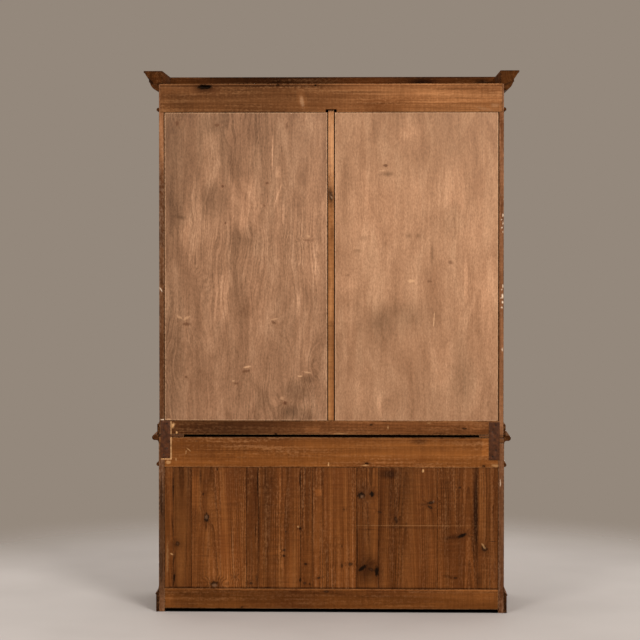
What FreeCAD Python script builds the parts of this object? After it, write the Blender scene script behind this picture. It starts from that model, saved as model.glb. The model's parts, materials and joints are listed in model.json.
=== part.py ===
import FreeCAD, Part
import os

Vec = FreeCAD.Vector

# A glazed hutch in two cases: a cupboard base with drawers, and a taller glazed case that stands on it.
# Millimetres, +Z up, front towards -Y, left and right as seen from the front.
# The origin is the middle of the footprint, on the floor.
# Depths are counted from the back plane towards the front.

# Driving dimensions of the two cases
overall_height = 2496.0
upper_width, upper_depth = 1586.0, 380.0
lower_width, lower_depth = 1592.0, 480.0
cornice_reach = 70.0
waist_reach = 31.0
skirting_reach = 16.0

# Heights above the floor
back_rail_foot = 16.0
bottom_rail_foot = 20.0
back_rail_top = 108.0
skirting_top = 115.0
lower_floor_top = 118.0
lower_shelf_foot = 386.0
door_head = 664.0
waist_bead_foot = 674.0
runner_foot = 674.0
back_boards_head = 670.0
drawer_rail_top = 694.0
lower_case_top = 783.0
waist_top_face = 808.0
waist_lip_top = 819.0
upper_foot = 821.0
upper_floor_top = 885.0
glazed_head = 2303.0
back_panel_head = 2305.0
upper_bead_foot = 2309.0
cornice_foot = 2404.0
roof_top = 2432.0
upper_case_top = 2436.0

# Thicknesses and widths of the stock
upper_side_stock = 22.0
lower_side_stock = 26.0
face_stock = 23.0
door_stock = 22.0
shelf_stock = 20.0
floor_stock = 22.0
back_stock = 20.0
stile_width = 75.0
centre_width = 80.0
stop_stock, stop_half = 12.0, 52.0
partition_half = 10.0
bearer_inner = 682.0
housing = 6.0
door_gap = 2.0
touch_gap = 0.4
tenon_length, tenon_inset = 30.0, 12.0
tenon_front, tenon_back = 8.0, 16.0
bead_height, bead_fillet, bead_reach = 18.0, 2.0, 11.0

# Widths of the boards across the lower back, from the right side to the left side
back_board_widths = (39, 85, 255, 54, 195, 57, 46, 156, 101, 270, 184, 98)
back_board_stock, back_board_recess = 12.0, 4.0
board_tongue = 6.0
rail_groove = 10.0

# Back of the upper case: a muntin between two thin panels, under a wide top rail
muntin_half, muntin_tongue_half = 25.0, 13.0
muntin_lip, muntin_front = 10.0, 26.0
muntin_lap_back, muntin_lap_top = 14.0, 2380.0
back_top_rail_half = 786.0
rail_notch = 14.0
panel_recess, panel_stock = 4.0, 6.0

# Iron plates that tie the cases together: two x, then two heights
plate_right = (743.0, 787.0, 711.0, 884.0)
plate_left = (-775.0, -727.0, 706.0, 880.0)
plate_stock = 4.0
plate_slack_right, plate_slack_left = 8.0, 2.0
screw_head_radius, screw_radius, screw_length = 4.2, 2.2, 16.0

# Glazed doors
glazed_stile = 70.0
glazed_top_rail = 70.0
glazed_bottom_rail = 95.0
glass_rebate = 9.0
glass_stock = 3.0
bar_width, bar_tongue, bar_face = 22.0, 6.0, 10.0
bead_stock = 7.0
bar_bevel = 6.0
pane_rows = 4
glazed_lock_z = 1480.0

# Panelled doors
panel_stile = 75.0
panel_top_rail = 75.0
panel_bottom_rail = 85.0
panel_muntin = 60.0
panel_groove, groove_set = 8.0, 8.0
panel_tongue = 6.0
panel_bevel = 38.0
panel_frame_bevel = 7.0
panel_lock_z = 430.0

# Shelf racks and shelves in the upper case
rack_width, rack_depth = 18.0, 30.0
notch_depth, notch_rise = 9.0, 27.0
notches_per_row = 7
notch_rows = 4
rest_height = 20.0
shelf_rear = 12.0

# Hinges
hinge_length = 76.0
leaf_stock, leaf_depth = 2.0, 20.0
knuckle_radius, pin_radius, pin_play = 4.5, 2.5, 0.1
knuckle_count = 5
axis_proud = 4.8

# Locks and keys, measured from the free edge and the face of a door
key_inset = 30.0
lock_length, lock_half_height = 48.0, 27.5
lock_front, lock_back = 6.2, 15.8
lock_wall = 1.2
bolt_travel = 12.0
shank_radius = 2.8

# Drawers
drawer_foot = 696.0
drawer_head = 781.0
drawer_rear = 70.0
drawer_side_stock = 12.0
drawer_side_head = 770.0
drawer_bottom_stock, drawer_bottom_rise = 6.0, 8.0
tail_length, tail_count = 14.0, 3
runner_top = 695.6
knob_reach, knob_dowel = 27.0, 5.0

# Values that follow from the ones above
overall_depth = lower_depth + waist_reach
back_y = overall_depth / 2
upper_half = upper_width / 2
lower_half = lower_width / 2
upper_inner = upper_half - upper_side_stock
lower_inner = lower_half - lower_side_stock
upper_stile_edge = upper_half - stile_width
lower_stile_edge = lower_half - stile_width
centre_edge = centre_width / 2
door_free = centre_edge + door_gap
upper_frame_back = upper_depth - face_stock
lower_frame_back = lower_depth - face_stock
key_x = door_free + key_inset

glazed_edge = upper_stile_edge - door_gap
glazed_foot = upper_floor_top + door_gap
glazed_top = glazed_head - door_gap
glazed_back = upper_depth - door_stock
glazed_inner_free = door_free + glazed_stile
glazed_inner_edge = glazed_edge - glazed_stile
glazed_middle = (glazed_inner_free + glazed_inner_edge) / 2
glass_foot = glazed_foot + glazed_bottom_rail
glass_head = glazed_top - glazed_top_rail
pane_shoulder = upper_depth - bar_face
pane_height = (glass_head - glass_foot - (pane_rows - 1) * bar_width) / pane_rows
row_pitch = pane_height + bar_width
shoulder_width = (bar_width - bar_tongue) / 2

rear_rack_wall = panel_recess + panel_stock
front_rack_wall = upper_frame_back
centre_rear_wall = muntin_front
centre_front_wall = upper_frame_back - stop_stock
rack_edge = upper_inner - rack_width
notch_pitch = row_pitch / notches_per_row
shelf_front = centre_front_wall - 2

panel_edge = lower_stile_edge - door_gap
panel_foot = lower_floor_top + door_gap
panel_top = door_head - door_gap
panel_back = lower_depth - door_stock
panel_inner_free = door_free + panel_stile
panel_inner_edge = panel_edge - panel_stile
panel_middle = (panel_inner_free + panel_inner_edge) / 2
panel_open_foot = panel_foot + panel_bottom_rail
panel_open_head = panel_top - panel_top_rail
groove_front = lower_depth - groove_set
groove_back = groove_front - panel_tongue

drawer_x0, drawer_x1 = door_free, lower_stile_edge - door_gap
drawer_front_back = lower_depth - door_stock
bottom_foot = drawer_foot + drawer_bottom_rise


def board(x0, x1, d0, d1, z0, z1):
    """A plain board between two x, two depths from the back plane and two heights."""
    return Part.makeBox(x1 - x0, d1 - d0, z1 - z0, Vec(x0, back_y - d1, z0))


def mirrored(shape):
    return shape.mirror(Vec(0, 0, 0), Vec(1, 0, 0))


def both(shape):
    return [shape, mirrored(shape)]


def joined(shapes):
    return shapes[0].fuse(shapes[1:]).removeSplitter()


def rod(x, d0, d1, z, radius):
    """A round rod that runs from the back towards the front."""
    return Part.makeCylinder(radius, d1 - d0, Vec(x, back_y - d0, z), Vec(0, -1, 0))


def outline_face(place, outline):
    """A face inside an outline of points. A pair of points is an arc: one on the way, then its end."""
    edges = []
    here = outline[0]
    for step in list(outline[1:]) + [outline[0]]:
        if isinstance(step[0], tuple):
            via, end = step
            edges.append(Part.Arc(place(*here), place(*via), place(*end)).toShape())
        else:
            end = step
            edges.append(Part.LineSegment(place(*here), place(*end)).toShape())
        here = end
    return Part.Face(Part.Wire(edges))


def plan_prism(points, z0, z1):
    face = outline_face(lambda x, y: Vec(x, y, z0), points)
    return face.extrude(Vec(0, 0, z1 - z0))


def depth_prism(points, x0, x1):
    """A prism across the case from an outline in depth and height."""
    face = outline_face(lambda d, z: Vec(x0, back_y - d, z), points)
    return face.extrude(Vec(x1 - x0, 0, 0))


def mitred_moulding(outline, half, depth, reach, lap=0.0):
    """A moulding along the front and both sides, mitred at the front corners.
    The outline is in distance out from the case and height. It may lap over the case."""
    front_y = back_y - depth
    far = half + reach
    face = outline_face(lambda r, z: Vec(-far, front_y - r, z), outline)
    front = face.extrude(Vec(2 * far, 0, 0))
    face = outline_face(lambda r, z: Vec(half + r, back_y, z), outline)
    side = face.extrude(Vec(0, -depth - reach, 0))
    inner, inner_y = half - lap, front_y + lap
    outer_y = front_y - reach
    front_plan = [(-far, outer_y), (far, outer_y), (inner, inner_y), (-inner, inner_y)]
    side_plan = [(inner, back_y), (far, back_y), (far, outer_y), (inner, inner_y)]
    front = front.common(plan_prism(front_plan, 0, overall_height))
    side = side.common(plan_prism(side_plan, 0, overall_height))
    return [front, side, mirrored(side)]


def opening_bevel(x0, x1, z0, z1, face_depth, size):
    """What an even bevel round an opening takes off the pieces around it."""
    over = 1.0
    wires = []
    for grow, depth in ((0, face_depth - size), (size + over, face_depth + over)):
        left, right, low, high = x0 - grow, x1 + grow, z0 - grow, z1 + grow
        corners = [(left, low), (right, low), (right, high), (left, high)]
        points = [Vec(x, back_y - depth, z) for x, z in corners]
        wires.append(Part.makePolygon(points + points[:1]))
    return Part.makeLoft(wires, True, True)


# Joints in the wood

def side_tenon(x0, x1, z0, z1, face_depth):
    """The tenon on a rail's end, set in from the rail's edges and from its face."""
    d0, d1 = face_depth - tenon_back, face_depth - tenon_front
    return board(x0, x1, d0, d1, z0 + tenon_inset, z1 - tenon_inset)


def end_tenon(x0, x1, z0, z1, face_depth):
    """The tenon on the end of an upright."""
    d0, d1 = face_depth - tenon_back, face_depth - tenon_front
    return board(x0 + tenon_inset, x1 - tenon_inset, d0, d1, z0, z1)


# Upper case

def upper_sides():
    side = board(upper_inner, upper_half, 0, upper_frame_back, upper_foot, upper_case_top)
    for top in (upper_floor_top, roof_top):
        foot = top - floor_stock
        side = side.cut(board(upper_inner, upper_inner + housing, back_stock, upper_frame_back, foot, top))
    rail_lap = board(upper_inner, back_top_rail_half, 0, back_stock, back_panel_head, upper_case_top)
    return side.cut(rail_lap)


def upper_level(top):
    """The roof or the floor of the upper case, housed in both sides."""
    half = upper_inner + housing
    return board(-half, half, back_stock, upper_frame_back, top - floor_stock, top)


def upper_face_frame():
    """Two stiles, a centre stile, the frieze board and the bottom rail, tenoned together."""
    front, back = upper_depth, upper_frame_back
    edge = upper_stile_edge
    stile = board(edge, upper_half, back, front, upper_foot, upper_case_top)
    centre = board(-centre_edge, centre_edge, back, front, upper_floor_top, glazed_head)
    frieze = board(-edge, edge, back, front, glazed_head, upper_case_top)
    rail = board(-edge, edge, back, front, upper_foot, upper_floor_top)
    frieze_tenon = side_tenon(edge, edge + tenon_length, glazed_head, upper_case_top, front)
    rail_tenon = side_tenon(edge, edge + tenon_length, upper_foot, upper_floor_top, front)
    stile = stile.cut([frieze_tenon, rail_tenon])
    frieze = joined([frieze] + both(frieze_tenon))
    rail = joined([rail] + both(rail_tenon))
    head = end_tenon(-centre_edge, centre_edge, glazed_head, glazed_head + tenon_length, front)
    foot = end_tenon(-centre_edge, centre_edge, upper_floor_top - tenon_length, upper_floor_top, front)
    centre = joined([centre, head, foot])
    for recess in strike_recesses(upper_depth, glazed_lock_z):
        centre = centre.cut(recess)
    for z in glazed_hinge_heights():
        stile = stile.cut(case_leaf_recess(upper_depth, glazed_edge, z))
    return [stile, mirrored(stile), centre, frieze.cut(head), rail.cut(foot)]


def cornice():
    """A cove, a fillet, a second hollow and a top fillet, standing up behind as a lip."""
    r, z0, z1 = cornice_reach, cornice_foot, overall_height
    lap = 16.0
    bed, step = r - 28, r - 24
    outline = [
        (0, z0),
        (3, z0),
        ((bed - 14, z0 + 13), (bed, z1 - 52)),
        (step, z1 - 52),
        (step, z1 - 40),
        ((r - 14, z1 - 26), (r - 4, z1 - 8)),
        (r, z1 - 8),
        (r, z1),
        (-lap, z1),
        (-lap, upper_case_top),
        (0, upper_case_top),
    ]
    return mitred_moulding(outline, upper_half, upper_depth, r, lap)


def bead(half, depth, z0):
    z1 = z0 + bead_height
    outline = [
        (0, z0),
        (bead_fillet, z0),
        ((bead_reach, (z0 + z1) / 2), (bead_fillet, z1)),
        (0, z1),
    ]
    return mitred_moulding(outline, half, depth, bead_reach)


def upper_plinth():
    reach, z0, z1 = 10.0, waist_lip_top, 879.0
    shoulder = z1 - reach
    outline = [
        (0, z0),
        (reach, z0),
        (reach, shoulder - 2),
        (reach - 2, shoulder),
        ((reach - 6, z1 - 6), (0.5, z1)),
        (0, z1),
    ]
    return mitred_moulding(outline, upper_half, upper_depth, reach)


# Back of the upper case

def muntin_lap():
    """The strip that carries the muntin up behind the top rail."""
    half = muntin_tongue_half
    return board(-half, half, muntin_lap_back, muntin_front, back_panel_head, muntin_lap_top)


def upper_back_muntin():
    lips = board(-muntin_half, muntin_half, muntin_lip, muntin_front, upper_floor_top, back_panel_head)
    half = muntin_tongue_half
    tongue = board(-half, half, 0, muntin_lip, upper_floor_top, back_panel_head)
    return joined([lips, tongue, muntin_lap()])


def upper_back_top_rail():
    half = back_top_rail_half
    rail = board(-half, half, 0, back_stock, back_panel_head, upper_case_top)
    notch = board(-muntin_half, muntin_half, 0, back_stock, back_panel_head, back_panel_head + rail_notch)
    return rail.cut(notch).cut(muntin_lap())


def upper_back_bottom_rail():
    return board(-upper_inner, upper_inner, 0, back_stock, upper_foot, upper_floor_top)


def upper_back_panel():
    x0 = muntin_tongue_half + 5
    x1 = upper_inner - 4
    front = panel_recess + panel_stock
    return board(x0, x1, panel_recess, front, upper_floor_top + 1, back_panel_head - 1)


# Shelves of the upper case, on notched racks

def bar_middle(row):
    """Height of the middle of a level glazing bar, counted from the bottom."""
    return glass_foot + row * row_pitch - bar_width / 2


def rest_foot(row):
    """Height of the notch whose shelf stands level with a glazing bar."""
    return bar_middle(row) + shelf_stock / 2 - shelf_stock - rest_height


def rack(x0, x1, wall, towards):
    """A rack with one notch after another in its edge. It stands on the floor against a wall."""
    edge = wall + towards * rack_depth
    root = edge - towards * notch_depth
    outline = [(wall, upper_floor_top), (edge, upper_floor_top)]
    first = rest_foot(1) - notches_per_row * notch_pitch
    for k in range(notches_per_row * notch_rows):
        ledge = first + k * notch_pitch
        outline += [(edge, ledge), (root, ledge), (edge, ledge + notch_rise)]
    outline += [(edge, glazed_head), (wall, glazed_head)]
    return depth_prism(outline, x0, x1)


def shelf_racks():
    rear = rack(rack_edge, upper_inner, rear_rack_wall, 1)
    front = rack(rack_edge, upper_inner, front_rack_wall, -1)
    half = rack_width / 2
    centre_rear = rack(-half, half, centre_rear_wall, 1)
    centre_front = rack(-half, half, centre_front_wall, -1)
    return both(rear) + both(front) + [centre_rear, centre_front]


def shelf_rest(x0, x1, rear_wall, front_wall, z):
    """A bar that drops into a notch at the back and one at the front, cut to their slope."""
    reach = rack_depth - notch_depth + touch_gap
    rear, front = rear_wall + reach, front_wall - reach
    lean = notch_depth * rest_height / notch_rise
    points = [(rear, z), (front, z), (front - lean, z + rest_height), (rear + lean, z + rest_height)]
    return depth_prism(points, x0, x1)


def shelf_rests():
    half = rack_width / 2
    rests = []
    for row in range(1, pane_rows):
        z = rest_foot(row)
        rests += both(shelf_rest(rack_edge, upper_inner, rear_rack_wall, front_rack_wall, z))
        rests.append(shelf_rest(-half, half, centre_rear_wall, centre_front_wall, z))
    return rests


def upper_shelves():
    """Shelves notched round the racks and the muntin."""
    end = upper_inner - 2
    slack = 1.0
    rear_notch = rear_rack_wall + rack_depth + slack
    front_notch = front_rack_wall - rack_depth - slack
    half = rack_width / 2 + slack
    shelves = []
    for row in range(1, pane_rows):
        z0 = rest_foot(row) + rest_height
        z1 = z0 + shelf_stock
        shelf = board(-end, end, shelf_rear, shelf_front, z0, z1)
        notches = both(board(rack_edge - slack, end, shelf_rear, rear_notch, z0, z1))
        notches += both(board(rack_edge - slack, end, front_notch, shelf_front, z0, z1))
        muntin = muntin_half + slack
        notches.append(board(-muntin, muntin, shelf_rear, muntin_front + slack, z0, z1))
        notches.append(board(-half, half, muntin_front, centre_rear_wall + rack_depth + slack, z0, z1))
        notches.append(board(-half, half, centre_front_wall - rack_depth - slack, shelf_front, z0, z1))
        shelves.append(shelf.cut(notches))
    return shelves


def door_stops():
    """Boards behind the centre stiles that the doors close against."""
    upper_back = upper_frame_back - stop_stock
    lower_back = lower_frame_back - stop_stock
    upper = board(-stop_half, stop_half, upper_back, upper_frame_back, upper_floor_top, glazed_head)
    lower = board(-stop_half, stop_half, lower_back, lower_frame_back, lower_floor_top, door_head)
    return [upper, lower]


# Waist between the cases

def case_bearers():
    """Two end bearers and a front bearer that hold the upper case off the waist top."""
    end = board(bearer_inner, upper_half, 2, 372, waist_top_face, upper_foot)
    front = board(-bearer_inner, bearer_inner, 340, 372, waist_top_face, upper_foot)
    return both(end) + [front]


def waist_top():
    top = board(-lower_half, lower_half, 0, lower_depth, lower_case_top, waist_top_face)
    rail_room = board(-lower_inner, lower_inner, 0, back_stock, lower_case_top, waist_top_face)
    return top.cut(rail_room)


def waist_moulding():
    """A half-round nose over a small cove. It stands up past the waist top as a lip."""
    nose = 12.5
    middle = waist_lip_top - nose
    under = middle - nose
    start = waist_reach - nose
    outline = [
        (0, lower_case_top - 1),
        (1, lower_case_top - 1),
        ((3.5, under - 4), (9.5, under)),
        (start, under),
        ((waist_reach, middle), (start, waist_lip_top)),
        (0, waist_lip_top),
    ]
    return mitred_moulding(outline, lower_half, lower_depth, waist_reach)


# Lower case

def lower_side():
    side = board(lower_inner, lower_half, 0, lower_frame_back, 0, lower_case_top)
    foot = lower_floor_top - floor_stock
    groove_end = lower_inner + housing
    return side.cut(board(lower_inner, groove_end, back_stock, lower_frame_back, foot, lower_floor_top))


def lower_floor():
    half = lower_inner + housing
    foot = lower_floor_top - floor_stock
    return board(-half, half, back_stock, lower_frame_back, foot, lower_floor_top)


def lower_face_frame():
    """Two stiles, a centre stile, the bottom rail and a rail under each drawer, tenoned together."""
    front, back = lower_depth, lower_frame_back
    edge = lower_stile_edge
    stile = board(edge, lower_half, back, front, 0, lower_case_top)
    centre = board(-centre_edge, centre_edge, back, front, lower_floor_top, lower_case_top)
    rail = board(-edge, edge, back, front, bottom_rail_foot, lower_floor_top)
    drawer_rail = board(centre_edge, edge, back, front, door_head, drawer_rail_top)
    rail_tenon = side_tenon(edge, edge + tenon_length, bottom_rail_foot, lower_floor_top, front)
    d0, d1 = front - tenon_back, front - tenon_front
    low, high = door_head + 5, drawer_rail_top - 5
    outer = board(edge, edge + tenon_length, d0, d1, low, high)
    inner = board(centre_edge - tenon_inset, centre_edge, d0, d1, low, high)
    foot = end_tenon(-centre_edge, centre_edge, lower_floor_top - tenon_length, lower_floor_top, front)
    stile = stile.cut([rail_tenon, outer])
    rail = joined([rail] + both(rail_tenon)).cut(foot)
    drawer_rail = joined([drawer_rail, outer, inner])
    centre = joined([centre, foot]).cut(both(inner))
    for recess in strike_recesses(lower_depth, panel_lock_z):
        centre = centre.cut(recess)
    for z in panel_hinge_heights():
        stile = stile.cut(case_leaf_recess(lower_depth, panel_edge, z))
    return both(stile) + [centre, rail] + both(drawer_rail)


def board_groove(z0, z1):
    """Room for the ends of the back boards in a rail."""
    front = back_board_recess + back_board_stock
    return board(-lower_inner, lower_inner, back_board_recess - 0.2, front + 0.2, z0, z1)


def lower_back_rails():
    top = board(-lower_inner, lower_inner, 0, back_stock, back_boards_head, waist_top_face)
    bottom = board(-lower_inner, lower_inner, 0, back_stock, back_rail_foot, back_rail_top)
    top = top.cut(board_groove(back_boards_head, back_boards_head + rail_groove + 1))
    bottom = bottom.cut(board_groove(back_rail_top - rail_groove - 1, back_rail_top))
    bevel = back_board_recess - 1
    edge = [(0, back_rail_top - bevel), (bevel, back_rail_top), (0, back_rail_top)]
    bottom = bottom.cut(depth_prism(edge, -lower_inner, lower_inner))
    return [top, bottom]


def lower_back_boards():
    """Tongued and grooved boards of uneven widths, from the right side to the left."""
    z0, z1 = back_rail_top - rail_groove, back_boards_head + rail_groove
    d0, d1 = back_board_recess, back_board_recess + back_board_stock
    tongue_back, tongue_front = d0 + 4, d0 + 8
    seam = 0.6
    boards = []
    right = lower_inner
    last = len(back_board_widths) - 1
    for k, width in enumerate(back_board_widths):
        left = right - width
        piece = board(left + seam / 2, right - seam / 2, d0, d1, z0, z1)
        if k < last:
            tongue = board(left - board_tongue, left + seam, tongue_back, tongue_front, z0, z1)
            piece = joined([piece, tongue])
        if k > 0:
            depth = board_tongue + 0.4
            piece = piece.cut(board(right - depth, right, tongue_back - 0.1, tongue_front + 0.1, z0, z1))
        boards.append(piece)
        right = left
    return boards


def lower_partition():
    front = lower_frame_back - stop_stock
    return board(-partition_half, partition_half, back_stock, front, lower_floor_top, runner_foot)


def lower_shelves():
    """A shelf each side of the partition, on cleats."""
    z = lower_shelf_foot
    shelf = board(partition_half + 1, lower_inner - 1, back_stock + 2, 440, z, z + shelf_stock)
    outer = board(lower_inner - 20, lower_inner, 30, 430, z - 24, z)
    inner = board(partition_half, partition_half + 20, 30, 430, z - 24, z)
    return both(shelf) + both(outer) + both(inner)


def drawer_runners():
    """Runners, side guides, kickers above the drawers and stops behind them."""
    d0, d1 = back_stock, lower_frame_back
    guide_top = runner_top + 30
    kick_foot = drawer_side_head + 2
    outer_edge = lower_stile_edge - 21
    drawer_outer = lower_stile_edge - door_gap
    outer = board(outer_edge, lower_inner, d0, d1, runner_foot - 2, runner_top)
    guide = board(drawer_outer + 1.4, lower_inner, d0, d1, runner_top, guide_top)
    kicker = board(outer_edge, lower_inner, d0, d1, kick_foot, lower_case_top)
    stop = board(drawer_outer - 14, drawer_outer, 56, drawer_rear - 0.5, runner_top, guide_top - 10)
    middle = board(-62, 62, d0, d1, runner_foot, runner_top)
    middle_guide = board(-centre_edge - 0.6, centre_edge + 0.6, d0, d1, runner_top, guide_top)
    middle_kicker = board(-62, 62, d0, d1, kick_foot, lower_case_top)
    return both(outer) + both(guide) + both(kicker) + both(stop) + [middle, middle_guide, middle_kicker]


def base_skirting():
    """A plain board with a bead and a hollow along its top."""
    r = skirting_reach
    plain = r - 3
    outline = [
        (0, 0),
        (plain, 0),
        (plain, 79),
        ((r, 83), (plain, 87)),
        ((plain - 8, 95), (2, skirting_top - 3)),
        (2, skirting_top),
        (0, skirting_top),
    ]
    return mitred_moulding(outline, lower_half, lower_depth, r)


# Iron plates that tie the two cases together at the back

def plate_blank(place):
    x0, x1, z0, z1 = place
    return board(x0, x1, 0, plate_stock, z0, z1)


def plate_recess(place, slack):
    """The bed of a plate, cut wider than it towards the middle of the back and below."""
    x0, x1, z0, z1 = place
    inner = x0 - slack if x0 > 0 else x0
    outer = x1 if x0 > 0 else x1 + slack
    return board(inner, outer, 0, plate_stock, z0 - slack, z1)


def screw_places(place):
    x0, x1, z0, z1 = place
    third = (x1 - x0) / 3
    return [(x0 + third, z1 - 14), (x1 - third, z1 - 44), (x0 + third, z0 + 46), (x1 - third, z0 + 16)]


def screw(x, z):
    """A slotted screw, its head let into the plate."""
    head = rod(x, 0.2, 2.4, z, screw_head_radius)
    shank = rod(x, 2.4, screw_length, z, screw_radius)
    slot = board(x - screw_head_radius, x + screw_head_radius, 0, 1.2, z - 0.6, z + 0.6)
    return joined([head, shank]).cut(slot)


def screw_room(x, z):
    play = 0.1
    head = rod(x, -1, 2.4, z, screw_head_radius + play)
    shank = rod(x, 2.4, screw_length + 1, z, screw_radius + play)
    return joined([head, shank])


def tie_plates():
    places = (plate_right, plate_left)
    plates = [plate_blank(p).cut([screw_room(*s) for s in screw_places(p)]) for p in places]
    screws = [screw(*s) for p in places for s in screw_places(p)]
    beds = [plate_recess(plate_right, plate_slack_right), plate_recess(plate_left, plate_slack_left)]
    rooms = [screw_room(*s) for p in places for s in screw_places(p)]
    return plates, screws, beds + rooms


# Hinges: the case leaf carries the pin, and the door leaf turns on it

def hinge_boxes(face_depth, edge, z):
    """The flat leaves of a hinge beside a door's edge: the case's leaf, then the door's."""
    half = hinge_length / 2
    d0 = face_depth - leaf_depth
    case = board(edge + door_gap, edge + door_gap + leaf_stock, d0, face_depth, z - half, z + half)
    door = board(edge - leaf_stock, edge, d0, face_depth, z - half, z + half)
    return case, door


def case_leaf_recess(face_depth, edge, z):
    return hinge_boxes(face_depth, edge, z)[0]


def door_leaf_recess(face_depth, edge, z):
    return hinge_boxes(face_depth, edge, z)[1]


def hinge(face_depth, edge, z):
    """A butt hinge with a ball at each end of its pin."""
    case, door = hinge_boxes(face_depth, edge, z)
    axis_x, axis_depth = edge + door_gap / 2, face_depth + axis_proud
    half = hinge_length / 2
    pitch = hinge_length / knuckle_count
    case_parts, door_parts = [case], [door]
    for k in range(knuckle_count):
        z0 = z - half + k * pitch + touch_gap / 2
        height = pitch - touch_gap
        knuckle = Part.makeCylinder(knuckle_radius, height, Vec(axis_x, back_y - axis_depth, z0))
        on_case = k % 2 == 0
        neck_x = edge + door_gap if on_case else edge - leaf_stock
        neck = board(neck_x, neck_x + leaf_stock, face_depth, axis_depth, z0, z0 + height)
        (case_parts if on_case else door_parts).extend([neck, knuckle])
    foot = Vec(axis_x, back_y - axis_depth, z - half)
    pin = Part.makeCylinder(pin_radius, hinge_length, foot)
    bore = Part.makeCylinder(pin_radius + pin_play, hinge_length, foot)
    tip = knuckle_radius - 0.9
    ball_heights = (z - half - tip + 1, z + half + tip - 1)
    balls = [Part.makeSphere(tip, Vec(axis_x, back_y - axis_depth, height)) for height in ball_heights]
    return joined(case_parts + [pin] + balls), joined(door_parts).cut(bore)


# Locks: a case in a mortise, a bolt, an escutcheon, a key, and a strike in the centre stile

def lock_pocket(face_depth, z):
    """What the free stile loses to the lock, its fore-end and the keyhole."""
    x = door_free
    body = board(x, x + lock_length + 2, face_depth - 16, face_depth - 6, z - 28, z + 28)
    fore_end = board(x, x + 2, face_depth - 19, face_depth - 3, z - 36, z + 36)
    return [body, fore_end] + keyhole(face_depth - 6, face_depth, z, 4.0, 4.0, 11.0)


def keyhole(d0, d1, z, radius, slot, drop):
    """A round hole with a slot below it, for a key to pass."""
    return [rod(key_x, d0, d1, z, radius), board(key_x - slot / 2, key_x + slot / 2, d0, d1, z - drop, z)]


def bolt_box(face_depth, z, play, x0, x1):
    return board(x0, x1, face_depth - 13 - play, face_depth - 8 + play, z + 10 - play, z + 22 + play)


def lock(face_depth, z):
    """The lock's case with its fore-end, and the escutcheon on the face of the door."""
    x0, x1 = door_free + 2, door_free + 2 + lock_length - 1
    d0, d1 = face_depth - lock_back, face_depth - lock_front
    shell = board(x0, x1, d0, d1, z - lock_half_height, z + lock_half_height)
    w = lock_wall
    room = board(x0 + w, x1 - w, d0 + w, d1 - w, z - lock_half_height + w, z + lock_half_height - w)
    fore_end = board(door_free, x0, face_depth - 18.9, face_depth - 3.1, z - 35.9, z + 35.9)
    case = joined([shell, fore_end]).cut(room).cut(bolt_box(face_depth, z, 0.2, door_free - 1, x0 + 2))
    case = case.cut(keyhole(d1 - 2, d1 + 1, z, shank_radius + 0.4, 3.2, 10.0))
    plate_front = face_depth + 1.6
    half_wide, half_high = 14.0, 23.0
    middle = Vec(key_x, back_y - face_depth, z)
    rim = Part.Ellipse(middle + Vec(0, 0, half_high), middle + Vec(half_wide, 0, 0), middle).toShape()
    plate = Part.Face(Part.Wire(rim)).extrude(Vec(0, face_depth - plate_front, 0))
    plate = plate.cut(keyhole(face_depth - 1, plate_front + 1, z, shank_radius + 0.5, 3.4, 10.5))
    return [case, plate]


def lock_bolt(face_depth, z):
    return bolt_box(face_depth, z, 0.0, door_free + 0.3, door_free + 40)


def strike_recesses(face_depth, z):
    """Room for a strike plate and the thrown bolt, on both edges of a centre stile."""
    deep = bolt_box(face_depth, z, 0.5, centre_edge - bolt_travel - 2, centre_edge)
    return both(deep) + both(strike_blank(face_depth, z))


def strike_blank(face_depth, z):
    return board(centre_edge - 1.5, centre_edge, face_depth - 18, face_depth - 4, z - 6, z + 38)


def strike_plates(face_depth, z):
    room = bolt_box(face_depth, z, 0.5, centre_edge - 3, centre_edge + 1)
    return both(strike_blank(face_depth, z).cut(room))


def key(face_depth, z):
    """A round shank with a bit at one end and a ring at the other."""
    tip, end = face_depth - 13, face_depth + 12
    ring_radius, ring_wire = 8.0, 1.9
    ring_depth = end + ring_radius - 1
    shank = rod(key_x, tip, end, z, shank_radius)
    collar = rod(key_x, face_depth + 3, face_depth + 6, z, shank_radius + 1.4)
    bit = board(key_x - 1.2, key_x + 1.2, tip, tip + 5, z - 9, z)
    ring = Part.makeTorus(ring_radius, ring_wire, Vec(key_x, back_y - ring_depth, z), Vec(1, 0, 0))
    return joined([shank, collar, bit, ring])


# Glazed doors: everything here is the right-hand door, and the left is its mirror image

def glazed_hinge_heights():
    return (glazed_foot + 170, (glazed_foot + glazed_top) / 2, glazed_top - 170)


def panel_hinge_heights():
    return (panel_foot + 95, panel_top - 95)


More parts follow.
